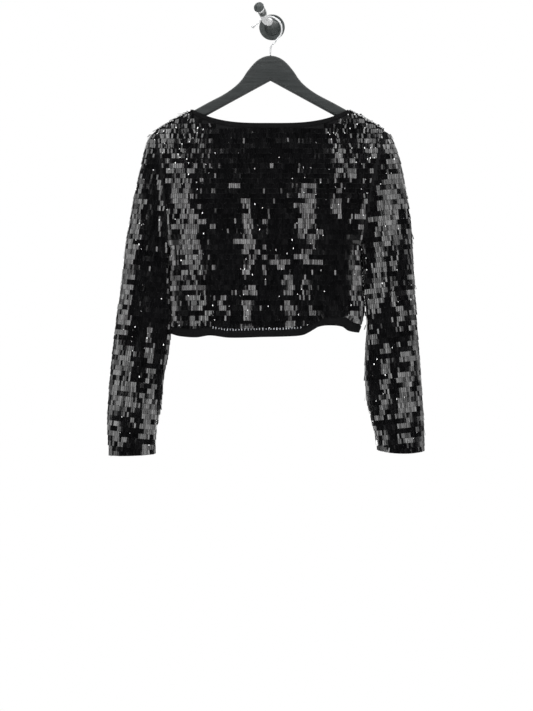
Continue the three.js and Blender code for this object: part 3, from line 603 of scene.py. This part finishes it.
def plates_object(name, plates):
    """One mesh of bevelled plates, each with its centre, its directions down, across and out,
    its half width, half length and tone."""
    parts = [np.concatenate(part) for part in zip(*plates)]
    centre, down, across, out = (part[:, None] for part in parts[:4])
    wide, long = (part[:, None, None] for part in parts[4:6])
    tone = parts[6]
    corner = np.array([(-1, -1), (1, -1), (1, 1), (-1, 1)], float)
    rings = []
    for inset, height in [(0, 0), (0, SEQUIN["side"]), (SEQUIN["bevel"], SEQUIN["thick"])]:
        u, v = corner[:, :1] * (wide - inset), corner[:, 1:] * (long - inset)
        rings.append(centre + across * u + down * v + out * height)
    verts = np.concatenate(rings, 1).reshape(-1, 3)
    quads = [(3, 2, 1, 0), (8, 9, 10, 11), *cells(3, 4, True)]
    faces = (np.array(quads)[None] + 12 * np.arange(len(tone))[:, None, None]).reshape(-1, 4)
    piece = mesh_object(name, verts, faces, smooth=False)
    shade = piece.data.attributes.new("tone", "FLOAT", "POINT")
    shade.data.foreach_set("value", np.repeat(tone, 12).astype(np.float32))
    return piece


def glint_plates(centre, down, normal, share):
    """Small turned-up sequin ends, each set so that a small bright lamp shows in it."""
    pick = np.flatnonzero(RANDOM.random(len(centre)) < share)
    centre, down, normal = centre[pick], down[pick], normal[pick]
    count = len(pick)
    end = RANDOM.choice([-1.0, 1.0], count)[:, None]
    place = centre + down * end * SEQUIN["long"] * RANDOM.uniform(*GLINT["end"], count)[:, None]
    way = np.where(normal[:, 1] < 0, -1.0, 1.0)
    same = np.ones(count)
    eye = np.stack([same * CAMERA[0] / MM, HANGER_Y + way * VIEW_AWAY, same * CAMERA[2] / MM], 1)
    side = RANDOM.choice([-1.0, 1.0], count)
    lamp = np.stack([side * LAMP[0], way * LAMP[1], same * LAMP[2]], 1) / MM
    lamp = lamp + np.array(MIDDLE) / MM
    out = unit(unit(eye - place) + unit(lamp - place))
    out = unit(out + RANDOM.normal(0, GLINT["aim"], (count, 3)))
    across = unit(np.cross(down, out))
    sizes = [RANDOM.uniform(*span, count) for span in (GLINT["wide"], GLINT["long"], GLINT_TONE)]
    return place + normal * GLINT["out"], np.cross(out, across), across, out, *sizes


def sequin_piece(name, points, normals, down_grid, limits, bands, closed=False, top=None):
    """All sequins of a panel or sleeve as one mesh: bevelled plates in level rows, and a last
    row that follows the lower edge. top is the depth, in each column, of one more row that
    follows the shoulder seams."""
    levels = [*np.arange(limits[0].min(), limits[1].max(), ROW_PITCH), limits[1]]
    rows = [(at, ROW_PITCH / 2) for at in levels]
    if top is not None:
        rows.append((top, 0.0))
    plates = []
    for at, hang in rows:
        places = row_places(points, down_grid, at, limits, closed)
        count = len(places)
        if not count:
            continue
        centre, before, after = (sample(points, places[:, k], closed) for k in range(3))
        normal = unit(sample(normals, places[:, 0], closed))
        across = unit(after - before)
        across = unit(across - normal * (across * normal).sum(-1, keepdims=True))
        down = np.cross(across, normal)
        down *= np.where(down[:, 2:3] > 0, -1, 1)
        x, z = centre[:, 0], centre[:, 2]
        side, core, near = band_turn(bands, x - HANGER_X, z)
        own = np.degrees(np.arcsin(np.clip(normal[:, 0], -1, 1)))
        facing = past(-np.abs(own), *ASIDE)
        ruffle = past(z, *RUFFLE_Z) * past(np.abs(x), *RUFFLE_X) * facing
        lit, to_camera = lit_turn(x, side)
        lies = LIES[0] * to_camera + LIES[1] * own
        lies = lerp(lies, own, past(np.abs(own), *FLAT))
        chance = core + LIT_CHANCE["near"] * near * (1 - core) + LIT_CHANCE["all"]
        lit = np.where(side == 0, lit_turn(x, np.sign(RANDOM.random(count) - 0.5))[0], lit)
        shows = (grouped(count) < chance) & (facing > 0.5)
        wanted = np.where(shows, lit, lies)
        turn = wanted - own + spread(count, *TURN_SPREAD)
        lift = LIFT + spread(count, *LIFT_SPREAD)
        stray = RANDOM.random(count) < STRAY["share"] + STRAY["shoulder"] * ruffle
        turn = np.where(stray, wanted - own + RANDOM.normal(0, STRAY["turn"], count), turn)
        lift = np.where(stray, RANDOM.normal(*STRAY["lift"], count), lift)
        toward = np.where(across[:, 0] < 0, -1.0, 1.0)
        roll = RANDOM.normal(0, ROLL["all"], count)
        roll = roll + RANDOM.normal(0, ROLL["shoulder"], count) * ruffle
        plain = normal
        normal, across = rotated(normal, across, turn * toward)
        normal, up = rotated(normal, -down, lift)
        across, down = rotated(across, -up, roll)
        half = SEQUIN["wide"] / 2 * RANDOM.uniform(0.94, 1.04, count)
        long = np.full(count, SEQUIN["long"] / 2)
        tilt = np.abs(np.sin(np.radians([turn, lift])))
        proud = PROUD["least"] + half * tilt[0] + long * tilt[1]
        proud = np.minimum(proud, np.where(stray, PROUD["stray"], PROUD["most"]))
        centre = centre + down * hang + plain * proud[:, None]
        tone = np.clip(0.5 + spread(count, *TONE_SPREAD), 0, 1)
        plates.append((centre, down, np.cross(down, normal), normal, half, long, tone))
        where = np.stack([np.ones(count), ruffle, past(z, *HIGH_Z) * facing, near])
        plates.append(glint_plates(centre, down, normal, GLINT_SHARE @ where * facing))
    return plates_object(name, plates)


# Materials
def material(name, **sockets):
    """A new material, its node tree and its main shader, with sockets set: _ is a space."""
    made = bpy.data.materials.new(name)
    made.use_nodes = True
    tree = made.node_tree
    tree.nodes.clear()
    shader = node(tree, "BsdfPrincipled")
    for socket, value in sockets.items():
        shader.inputs[socket.replace("_", " ")].default_value = value
    node(tree, "OutputMaterial", [(shader, "BSDF", "Surface")])
    return made, tree, shader


def node(tree, kind, links=(), **values):
    """A node with its named inputs set, and with links from (node, output) to its inputs."""
    made = tree.nodes.new("ShaderNode" + kind)
    for name, value in values.items():
        if hasattr(made, name):
            setattr(made, name, value)
        else:
            made.inputs[name].default_value = value
    for source, output, target in links:
        tree.links.new(source.outputs[output], made.inputs[target])
    return made


def pattern(tree, kind, **values):
    """A texture node that lies on the object's own coordinates."""
    place = node(tree, "TexCoord")
    return node(tree, "Tex" + kind, [(place, "Object", "Vector")], **values)


def colour_ramp(tree, source, output, stops):
    """A ramp of colours. A stop is a place with a colour, or with one number for a grey."""
    ramp = node(tree, "ValToRGB", [(source, output, "Fac")])
    elements = ramp.color_ramp.elements
    while len(elements) < len(stops):
        elements.new(0.5)
    for element, (place, colour) in zip(elements, stops):
        element.position = place
        element.color = (*colour, 1) if isinstance(colour, tuple) else (colour, colour, colour, 1)
    return ramp


def paint(tree, shader, socket, source, *stops):
    """Colours or grades one socket of the shader by a ramp over a pattern."""
    ramp = colour_ramp(tree, source, "Fac", stops)
    tree.links.new(ramp.outputs["Color"], shader.inputs[socket])


def add_bump(tree, shader, source, strength, distance, output="Fac"):
    bump = node(tree, "Bump", [(source, output, "Height")], Strength=strength, Distance=distance)
    tree.links.new(bump.outputs["Normal"], shader.inputs["Normal"])


def sequin_material():
    """Black glossy plates, each a little duller or darker by its own tone."""
    made, tree, shader = material("sequin", IOR=1.55)
    tone = node(tree, "Attribute", attribute_name="tone")
    dark, light = (0.002, 0.002, 0.0022), (0.005, 0.005, 0.0054)
    paint(tree, shader, "Base Color", tone, (0, dark), (1, light))
    paint(tree, shader, "Roughness", tone, (0, 0.05), (0.6, 0.1), (1, 0.19))
    add_bump(tree, shader, pattern(tree, "Noise", Scale=260, Detail=2), 0.05, 0.001)
    return made


def knit_material(name, colour, fine):
    """Matt black knit: ribs crossed by rows, in a cloudy colour."""
    made, tree, shader = material(name, Roughness=0.9, Specular_IOR_Level=0.12)
    cloud = pattern(tree, "Noise", Scale=60, Detail=4)
    dark, light = (tuple(share * c for c in colour) for share in (0.75, 1.25))
    paint(tree, shader, "Base Color", cloud, (0.3, dark), (0.7, light))
    ribs = pattern(tree, "Wave", Scale=fine, Distortion=0.6)
    lines = pattern(tree, "Wave", bands_direction="Z", Scale=fine * 0.8, Distortion=0.5)
    both = node(tree, "Math", [(ribs, "Fac", 0), (lines, "Fac", 1)], operation="MULTIPLY")
    add_bump(tree, shader, both, 0.5, 0.0006, "Value")
    return made


def thread_material():
    made, tree, shader = material("thread", Roughness=0.35)
    twist = pattern(tree, "Noise", Scale=900)
    dark, light = (0.12, 0.13, 0.14), (0.62, 0.63, 0.66)
    paint(tree, shader, "Base Color", twist, (0.35, dark), (0.65, light))
    return made


def wood_material():
    """Black painted wood: faint grain along the arms, satin and slightly uneven."""
    made, tree, shader = material("hanger_wood", Specular_IOR_Level=0.3)
    place = node(tree, "TexCoord")
    long = node(tree, "Mapping", [(place, "Object", "Vector")], Scale=(9, 60, 110))
    grain = node(
        tree, "TexNoise", [(long, "Vector", "Vector")], Scale=2.2, Detail=6, Distortion=0.5,
    )
    dark, middle, light = (0.013, 0.015, 0.015), (0.019, 0.022, 0.022), (0.03, 0.034, 0.034)
    paint(tree, shader, "Base Color", grain, (0.25, dark), (0.55, middle), (0.8, light))
    paint(tree, shader, "Roughness", grain, (0.3, 0.4), (0.75, 0.62))
    add_bump(tree, shader, grain, 0.25, 0.0008)
    return made


def steel_material(name, dark, light, metallic, rough):
    """Metal with a faint cloudy wear in its colour and gloss."""
    made, tree, shader = material(name, Metallic=metallic)
    wear = pattern(tree, "Noise", Scale=160, Detail=4)
    paint(tree, shader, "Base Color", wear, (0.3, dark), (0.7, light))
    paint(tree, shader, "Roughness", wear, (0.3, rough), (0.7, rough + 0.12))
    add_bump(tree, shader, wear, 0.04, 0.0002)
    return made


SEQUIN_LOOK = sequin_material()
CLOTH_LOOK = knit_material("under_cloth", (0.006, 0.006, 0.0065), 420)
EDGE_LOOK = knit_material("edge_cloth", (0.003, 0.003, 0.0034), 520)
THREAD_LOOK = thread_material()
WOOD_LOOK = wood_material()
BRIGHT_LOOK = steel_material("bright_steel", (0.5, 0.505, 0.51), (0.57, 0.575, 0.58), 0.5, 0.3)
ROD_LOOK = steel_material("rod_steel", (0.44, 0.445, 0.45), (0.48, 0.485, 0.49), 0.15, 0.55)
# The dark steel is painted shade: its colour stands in for the dark reflections of the chrome
# plate, its stem and the cap's face, and for the shade in the groove near the rod's end
PAINTED_SHADE_STEEL_LOOK = steel_material("dark_steel", (0.034, 0.039, 0.039), (0.046, 0.052, 0.052), 0.35, 0.36)


def dress(piece, look, slot, *nodes):
    """Gives a piece its material and its body, and hides the solids that it stands for. slot is
    not used.
    """
    piece.data.materials.append(look)
    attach(piece, "root")
    if nodes:
        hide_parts(*nodes)


# Panels and sleeves
PANEL_ROWS = np.concatenate([np.linspace(0, 0.03, 9), np.linspace(0.04, 1, 90)])
PANEL_COLUMNS = np.linspace(0, 1, 131)
PANEL_COLUMNS = lerp(PANEL_COLUMNS, (1 - np.cos(np.pi * PANEL_COLUMNS)) / 2, 0.4)
TOP_X = lerp(SHOULDER_TIP_X["minus"], SHOULDER_TIP_X["plus"], PANEL_COLUMNS)
pieces = {}
for way, panel in ENDS:
    row, column = np.meshgrid(PANEL_ROWS, PANEL_COLUMNS, indexing="ij")
    full, plain = body_points(panel, row, column), body_points(panel, row, column, 0.0)
    outward = np.array([0, way, 0])
    normals = grid_normals(full, outward)
    for edge in (0, -1):
        normals[:, edge, 1] = 0
        normals[:, edge] = unit(normals[:, edge])
    cloth = shell_object(f"cloth_{panel}", full, normals)
    dress(cloth, CLOTH_LOOK, "sequin_cloth", panel)
    neck = np.where(np.abs(TOP_X) < HALF_NECK, NECK_BAND + PANEL_ENDS[0], PANEL_ENDS[1])
    limits = (-full[0, :, 2] + neck, -full[-1, :, 2] - HEM_BAND - ROW_PITCH - PANEL_ENDS[2])
    bands = BODY_BANDS
    if panel == "back":
        wide = PHOTO_SIZE[0]
        bands = [(wide - a, b, wide - c, d, half, -lit) for a, b, c, d, half, lit in BODY_BANDS]
    base = unit(lerp(grid_normals(plain, outward), normals, PLAIN_SHARE["panel"]))
    top = np.where(np.abs(TOP_X) > HALF_NECK, SHOULDER_ROW - full[0, :, 2], ABOVE_ALL)
    down = -full[:, :, 2]
    sequins = sequin_piece(f"sequins_{panel}", full, base, down, limits, bands, top=top)
    dress(sequins, SEQUIN_LOOK, "sequin_cloth")
    pieces[panel] = (cloth, sequins, full, normals)

for side, name in (("minus", "right"), ("plus", "left")):
    share, turn = np.meshgrid(np.linspace(0, 1, 131), np.arange(128) / 128, indexing="ij")
    full, plain = sleeve_points(side, share, turn), sleeve_points(side, share, turn, 0.0)
    middle = full.mean(1, keepdims=True)
    normals = grid_normals(full, full - middle, closed=True)
    cloth = shell_object(f"cloth_sleeve_{name}", full, normals, closed=True)
    dress(cloth, CLOTH_LOOK, "sequin_cloth", f"sleeve_{name}_front", f"sleeve_{name}_back")
    lean = SIGN[side] * SLEEVE_LEAN
    down = full[:, :, 0] * math.sin(lean) - full[:, :, 2] * math.cos(lean)
    limits = (down[0] + SLEEVE_ENDS[0], down[-1] - ROW_PITCH + SLEEVE_ENDS[1])
    base = grid_normals(plain, plain - middle, closed=True)
    base = unit(lerp(base, normals, PLAIN_SHARE["sleeve"]))
    sequins = sequin_piece(f"sequins_sleeve_{name}", full, base, down, limits, SLEEVE_BANDS, True)
    dress(sequins, SEQUIN_LOOK, "sequin_cloth")
    pieces[name] = (cloth, sequins, full, normals)


# Edges of the neck, the hem and the cuffs
def tape_object(name, points, normals, edge, depth, closed=False, thick=1.0):
    """A folded tape over one edge of a grid. edge is -1 at its first row and 1 at its last."""
    rows, columns = points.shape[:2]
    length = np.abs(points[-1, :, 2] - points[0, :, 2])
    keys = np.abs(points[:, :, 2] - points[:1, :, 2]) / length
    loop = []
    for share, height in TAPE:
        inside = max(share, 0) * depth
        key = inside / length if edge < 0 else 1 - inside / length
        row = [np.interp(key[i], keys[:, i], np.arange(rows)) for i in range(columns)]
        places = np.stack([np.clip(row, 0, rows - 1.0001), np.arange(columns)], 1)
        height *= thick if height > 0 else 1
        at = sample(points, places, closed) + unit(sample(normals, places, closed)) * height
        at[:, 2] -= edge * min(share, 0)
        loop.append(at)
    loop = np.array(loop)
    count = len(TAPE)
    faces = [*cells(count, columns, closed, True)]
    if not closed:
        last = count * columns
        faces += [range(0, last, columns), range(last - 1, 0, -columns)]
    return solid_object(name, loop.reshape(-1, 3), faces)


def stitches_object(name, points, normals):
    """A row of short upright stitches just above the hem."""
    start, end = (from_photo(px, 0)[0] + HANGER_X for px in STITCHES_FROM_TO)
    hem = points[-1]
    length = points[0, :, 2] - hem[:, 2]
    xs = np.arange(start, end, STITCH_PITCH)
    plates = []
    for x in xs + RANDOM.normal(0, 0.35, len(xs)):
        column = np.interp(x, hem[:, 0], np.arange(len(hem)))
        above = 1 - (HEM_BAND + STITCH_UP) / length[round(column)]
        row = np.interp(above, PANEL_ROWS, np.arange(len(PANEL_ROWS)))
        place = np.array([[row, column]])
        out = unit(sample(normals, place))
        down = np.array([[RANDOM.normal(0, 0.1), 0, -1.0]])
        down = unit(down - out * (down * out).sum())
        across = np.cross(down, out)
        at = sample(points, place) + out * STITCH_OUT
        half, tall = RANDOM.uniform(0.5, 0.85, 1), RANDOM.uniform(1.3, 2.3, 1)
        plates.append((at, down, across, out, half, tall, [0.2]))
    return plates_object(name, plates)


for _, panel in ENDS:
    full, normals = pieces[panel][2:]
    neck = np.flatnonzero(np.abs(TOP_X) < HALF_NECK + 1)
    tape = tape_object(f"edge_neck_{panel}", full[:, neck], normals[:, neck], -1, NECK_BAND)
    dress(tape, EDGE_LOOK, "edge_cloth", f"neck_band_{panel}")
    hem = tape_object(f"edge_hem_{panel}", full, normals, 1, HEM_BAND)
    dress(hem, EDGE_LOOK, "edge_cloth", f"hem_band_{panel}")
    stitches = stitches_object(f"stitches_hem_{panel}", full, normals)
    dress(stitches, THREAD_LOOK, "edge_cloth")
for name in ("right", "left"):
    full, normals = pieces[name][2:]
    cuff = tape_object(f"edge_cuff_{name}", full, normals, 1, CUFF_EDGE, closed=True, thick=0.35)
    dress(cuff, EDGE_LOOK, "edge_cloth")


# Hanger
def smooth_route(points, per_span):
    """A centripetal curve through points, as in the solids."""
    points = np.array(points, float)
    p = np.array([2 * points[0] - points[1], *points, 2 * points[-1] - points[-2]])
    route = []
    for k in range(1, len(p) - 2):
        knots = [0.0]
        for a in (k - 1, k, k + 1):
            knots.append(knots[-1] + math.sqrt(np.linalg.norm(p[a + 1] - p[a])))
        t0, t1, t2, t3 = knots
        for t in np.linspace(t1, t2, per_span, endpoint=False):
            a1 = lerp(p[k - 1], p[k], (t - t0) / (t1 - t0))
            a2 = lerp(p[k], p[k + 1], (t - t1) / (t2 - t1))
            a3 = lerp(p[k + 1], p[k + 2], (t - t2) / (t3 - t2))
            b1, b2 = lerp(a1, a2, (t - t0) / (t2 - t0)), lerp(a2, a3, (t - t1) / (t3 - t1))
            route.append(lerp(b1, b2, (t - t1) / (t2 - t1)))
    return np.array([*route, points[-1]])


def tube_object(name, route, radii, sides=24):
    """A round tube along a route, closed at both ends, with a radius at each point."""
    ahead = unit(np.gradient(route, axis=0))
    first = unit(np.cross(ahead[0], (0.0, 1.0, 0.3)))
    rings = []
    for at, way, radius in zip(route, ahead, radii):
        first = unit(first - way * (first @ way))
        rings.append(at + radius * circle(first, way, sides))
    return rings_object(name, rings)


def circle(first, way, sides):
    """Unit vectors round way, from first on."""
    angle = 2 * np.pi * np.arange(sides) / sides
    return np.cos(angle)[:, None] * first + np.sin(angle)[:, None] * np.cross(way, first)


def rings_object(name, rings):
    """A closed skin over rings of points, with both end rings filled."""
    rings = np.array(rings)
    count, sides = rings.shape[:2]
    ends = [range(sides), range((count - 1) * sides, count * sides)]
    return solid_object(name, rings.reshape(-1, 3), [*ends, *cells(count, sides, True)])


def arc(x, z, r, angles):
    return [(x + r * math.cos(angle), z + r * math.sin(angle)) for angle in angles]


def hanger_outline():
    """The hanger's outline, from the middle of its top round to the middle of its underside."""
    top_x, top_z = HANGER_TOP["x"], HANGER_TOP["z"]
    top = [(x, along(top_x, top_z, x)) for x in np.linspace(0, top_x[-1], 70)]
    top += [(x, ridge_z(x) - ARM_BELOW_RIDGE) for x in np.linspace(*ARM_RUN, 20)]
    apex_z, slope, short = UNDERSIDE
    tilt = math.atan(slope)
    top += arc(*ARM_END, np.linspace(math.pi / 2 - tilt, -math.pi / 2 - tilt, 18))
    top += [(x, apex_z - slope * x) for x in np.linspace(ARM_END[0] - short, 0, 40)]
    return np.array(top)


half = hanger_outline()
outline = np.concatenate([half, (half * (-1, 1))[1:-1][::-1]])
after, before = np.roll(outline, -1, 0), np.roll(outline, 1, 0)
first, second = unit(outline - before), unit(after - outline)
corner = unit(first + second)
inward = np.stack([corner[:, 1], -corner[:, 0]], 1)
inward /= np.maximum((corner * second).sum(1), 0.5)[:, None]
rings = []
for turn in np.linspace(-90, 90, 17):
    side, inset = HANGER_ROUND
    c, k = math.cos(math.radians(turn)), math.sin(math.radians(turn))
    flat = outline + inward * inset * (1 - c)
    y = k * side + math.copysign(HANGER_THICK / 2 - side, k) * min(abs(k) * 8, 1)
    y = np.full(len(flat), HANGER_Y + y)
    rings.append(np.stack([HANGER_X + flat[:, 0], y, flat[:, 1]], 1))
hanger = rings_object("hanger_arms", rings)
dress(hanger, WOOD_LOOK, "hanger_wood", "hanger")

# Each panel's and sleeve's cloth and sequins, looked up again and not used further: a panel is one
# piece, a sleeve is one piece round the arm
for panel in ("front", "back"):
    cloth, sequins = pieces[panel][:2]
for name in ("right", "left"):
    cloth, sequins = pieces[name][:2]

# The hanger's wire hook with its ball tip
wire = [*WIRE_STEM, *arc(*WIRE_LOOP, np.radians(np.arange(*WIRE_TURN))), *WIRE_TIP]
wire = smooth_route([(HANGER_X + x, HANGER_Y, z) for x, z in wire], 9)
ahead = unit(wire[-1] - wire[-2])
ball_at = np.linspace(-math.pi / 2 + 0.5, math.pi / 2 - 0.05, 14)
route = np.concatenate([wire[:-1], wire[-1] + np.sin(ball_at)[:, None] * WIRE_BALL * ahead])
radii = np.concatenate([np.full(len(wire) - 1, WIRE_R), np.cos(ball_at) * WIRE_BALL])
wire_hook = tube_object("wire_hook", route, radii)
dress(wire_hook, BRIGHT_LOOK, "bright_steel", "hanger_hook")


# Wall hook
def lathe_object(name, profile, centre, way, sides=96, knurl=0.0):
    """A turned piece from (radius, distance) pairs along way. knurl cuts fine ridges."""
    way = unit(np.array(way))
    ring = circle(unit(np.cross(way, (0.3, 0.1, 1.0))), way, sides)
    ridge = 1 - knurl * (np.arange(sides) % 2)[:, None]
    rings = [np.array(centre) + way * run + ring * max(r, 0.02) * ridge for r, run in profile]
    return rings_object(name, rings)


hook_at = smooth_route([row[:3] for row in HOOK_ROUTE], ROUTE_STEPS)
rows = np.arange(len(HOOK_ROUTE))
hook_r = along(rows, [row[3] for row in HOOK_ROUTE], np.arange(len(hook_at)) / ROUTE_STEPS)
split = STEM_END * ROUTE_STEPS
rod_at = hook_at[split:].copy()
rod_at[0] = lerp(*rod_at[:2], 0.4)
# The plate and its stem take the dark steel, painted shade for the dark reflections of chrome
plate = lathe_object("plate_disc", PLATE, (0, 0, 0), (0, -1, 0))
stem = tube_object("plate_stem", hook_at[:split + 1], hook_r[:split + 1], 48)
rod = tube_object("rod_bent", rod_at, hook_r[split:], 48)
# The dark ring is painted shade for the groove near the rod's end
ring = tube_object("rod_groove_shade", hook_at[GROOVE_SHADE_SPAN], hook_r[GROOVE_SHADE_SPAN] + GROOVE_SHADE_PROUD, 48)
cap_way = unit(hook_at[-1] - hook_at[-2])
cap_at = hook_at[-1] + cap_way * CAP_GAP
# The cap is one piece in two colours: its face takes the dark steel as painted shade, and its rim
# takes the bright steel as a painted highlight on its lit side
cap_face_painted_shade = lathe_object("cap_face_painted_shade", CAP_FACE, cap_at, cap_way)
cap_rim_painted_highlight = lathe_object("cap_rim_painted_highlight", CAP_RIM, cap_at, cap_way, knurl=0.012)
dress(plate, PAINTED_SHADE_STEEL_LOOK, "dark_steel", "wall_plate")
dress(rod, ROD_LOOK, "bright_steel", "hook_rod")
dress(cap_face_painted_shade, PAINTED_SHADE_STEEL_LOOK, "dark_steel", "hook_cap")
# The stem and the ring take the painted shade, and the cap's rim the painted highlight
for piece, look in ((stem, PAINTED_SHADE_STEEL_LOOK), (ring, PAINTED_SHADE_STEEL_LOOK), (cap_rim_painted_highlight, BRIGHT_LOOK)):
    dress(piece, look, "dark_steel")


# Light, floor and background
def area_light(name, place, target, wide, tall, radiance):
    data = bpy.data.lights.new(name, "AREA")
    data.shape = "RECTANGLE"
    data.size, data.size_y = wide, tall
    data.energy = radiance * math.pi * wide * tall
    lamp = add_object(name, data)
    lamp.location = place
    lamp.rotation_euler = (Vector(target) - Vector(place)).to_track_quat("-Z", "Y").to_euler()
    lamp.visible_camera = False


def lights_round(name, out, z, target_z, wide, tall, radiance):
    """The same light at both sides, in front and behind, at out in x and y from MIDDLE."""
    target = (*MIDDLE[:2], target_z)
    for side, hand in ((-1, "left"), (1, "right")):
        for way, end in ENDS:
            spot = (MIDDLE[0] + side * out[0], MIDDLE[1] + way * out[1], z)
            area_light(f"{name}_{end}_{hand}", spot, target, wide, tall, radiance)


for angle, wide, radiance in STRIPS:
    turn = math.radians(angle)
    out = (STRIP_AWAY * math.sin(turn), STRIP_AWAY * math.cos(turn))
    wide = 2 * STRIP_AWAY * math.tan(math.radians(wide / 2))
    lights_round(f"strip_{angle:g}", out, STRIP_Z, STRIP_Z, wide, STRIP_TALL, radiance)
for way, end in ENDS:
    spot = (MIDDLE[0], MIDDLE[1] + way * TOP_LIGHT[0], MIDDLE[2] + TOP_LIGHT[1])
    area_light(f"top_{end}", spot, MIDDLE, *TOP_LIGHT[2:])
lights_round("lamp", LAMP[:2], MIDDLE[2] + LAMP[2], MIDDLE[2], LAMP_WIDE, LAMP_WIDE, LAMP_GLOW)

world = bpy.data.worlds.new("studio")
world.use_nodes = True
tree = world.node_tree
tree.nodes.clear()
place = node(tree, "TexCoord")
split = node(tree, "SeparateXYZ", [(place, "Generated", 0)])
wall = colour_ramp(tree, split, "Y", SURROUND)
path = node(tree, "LightPath")
mixed = node(
    tree, "Mix", [(path, "Is Camera Ray", "Factor"), (wall, "Color", 6)], data_type="RGBA",
)
mixed.inputs[7].default_value = (1, 1, 1, 1)
back = node(tree, "Background", [(mixed, 2, "Color")])
node(tree, "OutputWorld", [(back, "Background", "Surface")])
scene.world = world
scene.view_settings.view_transform = "Standard"

floor = mesh_object("floor", FLOOR, [(0, 1, 2, 3)])
floor_look, tree, shader = material("floor", Roughness=0.8)
paint(tree, shader, "Base Color", pattern(tree, "Noise", Scale=3.0), (0.3, 0.78), (0.7, 0.84))
floor.data.materials.append(floor_look)

bpy.context.view_layer.update()
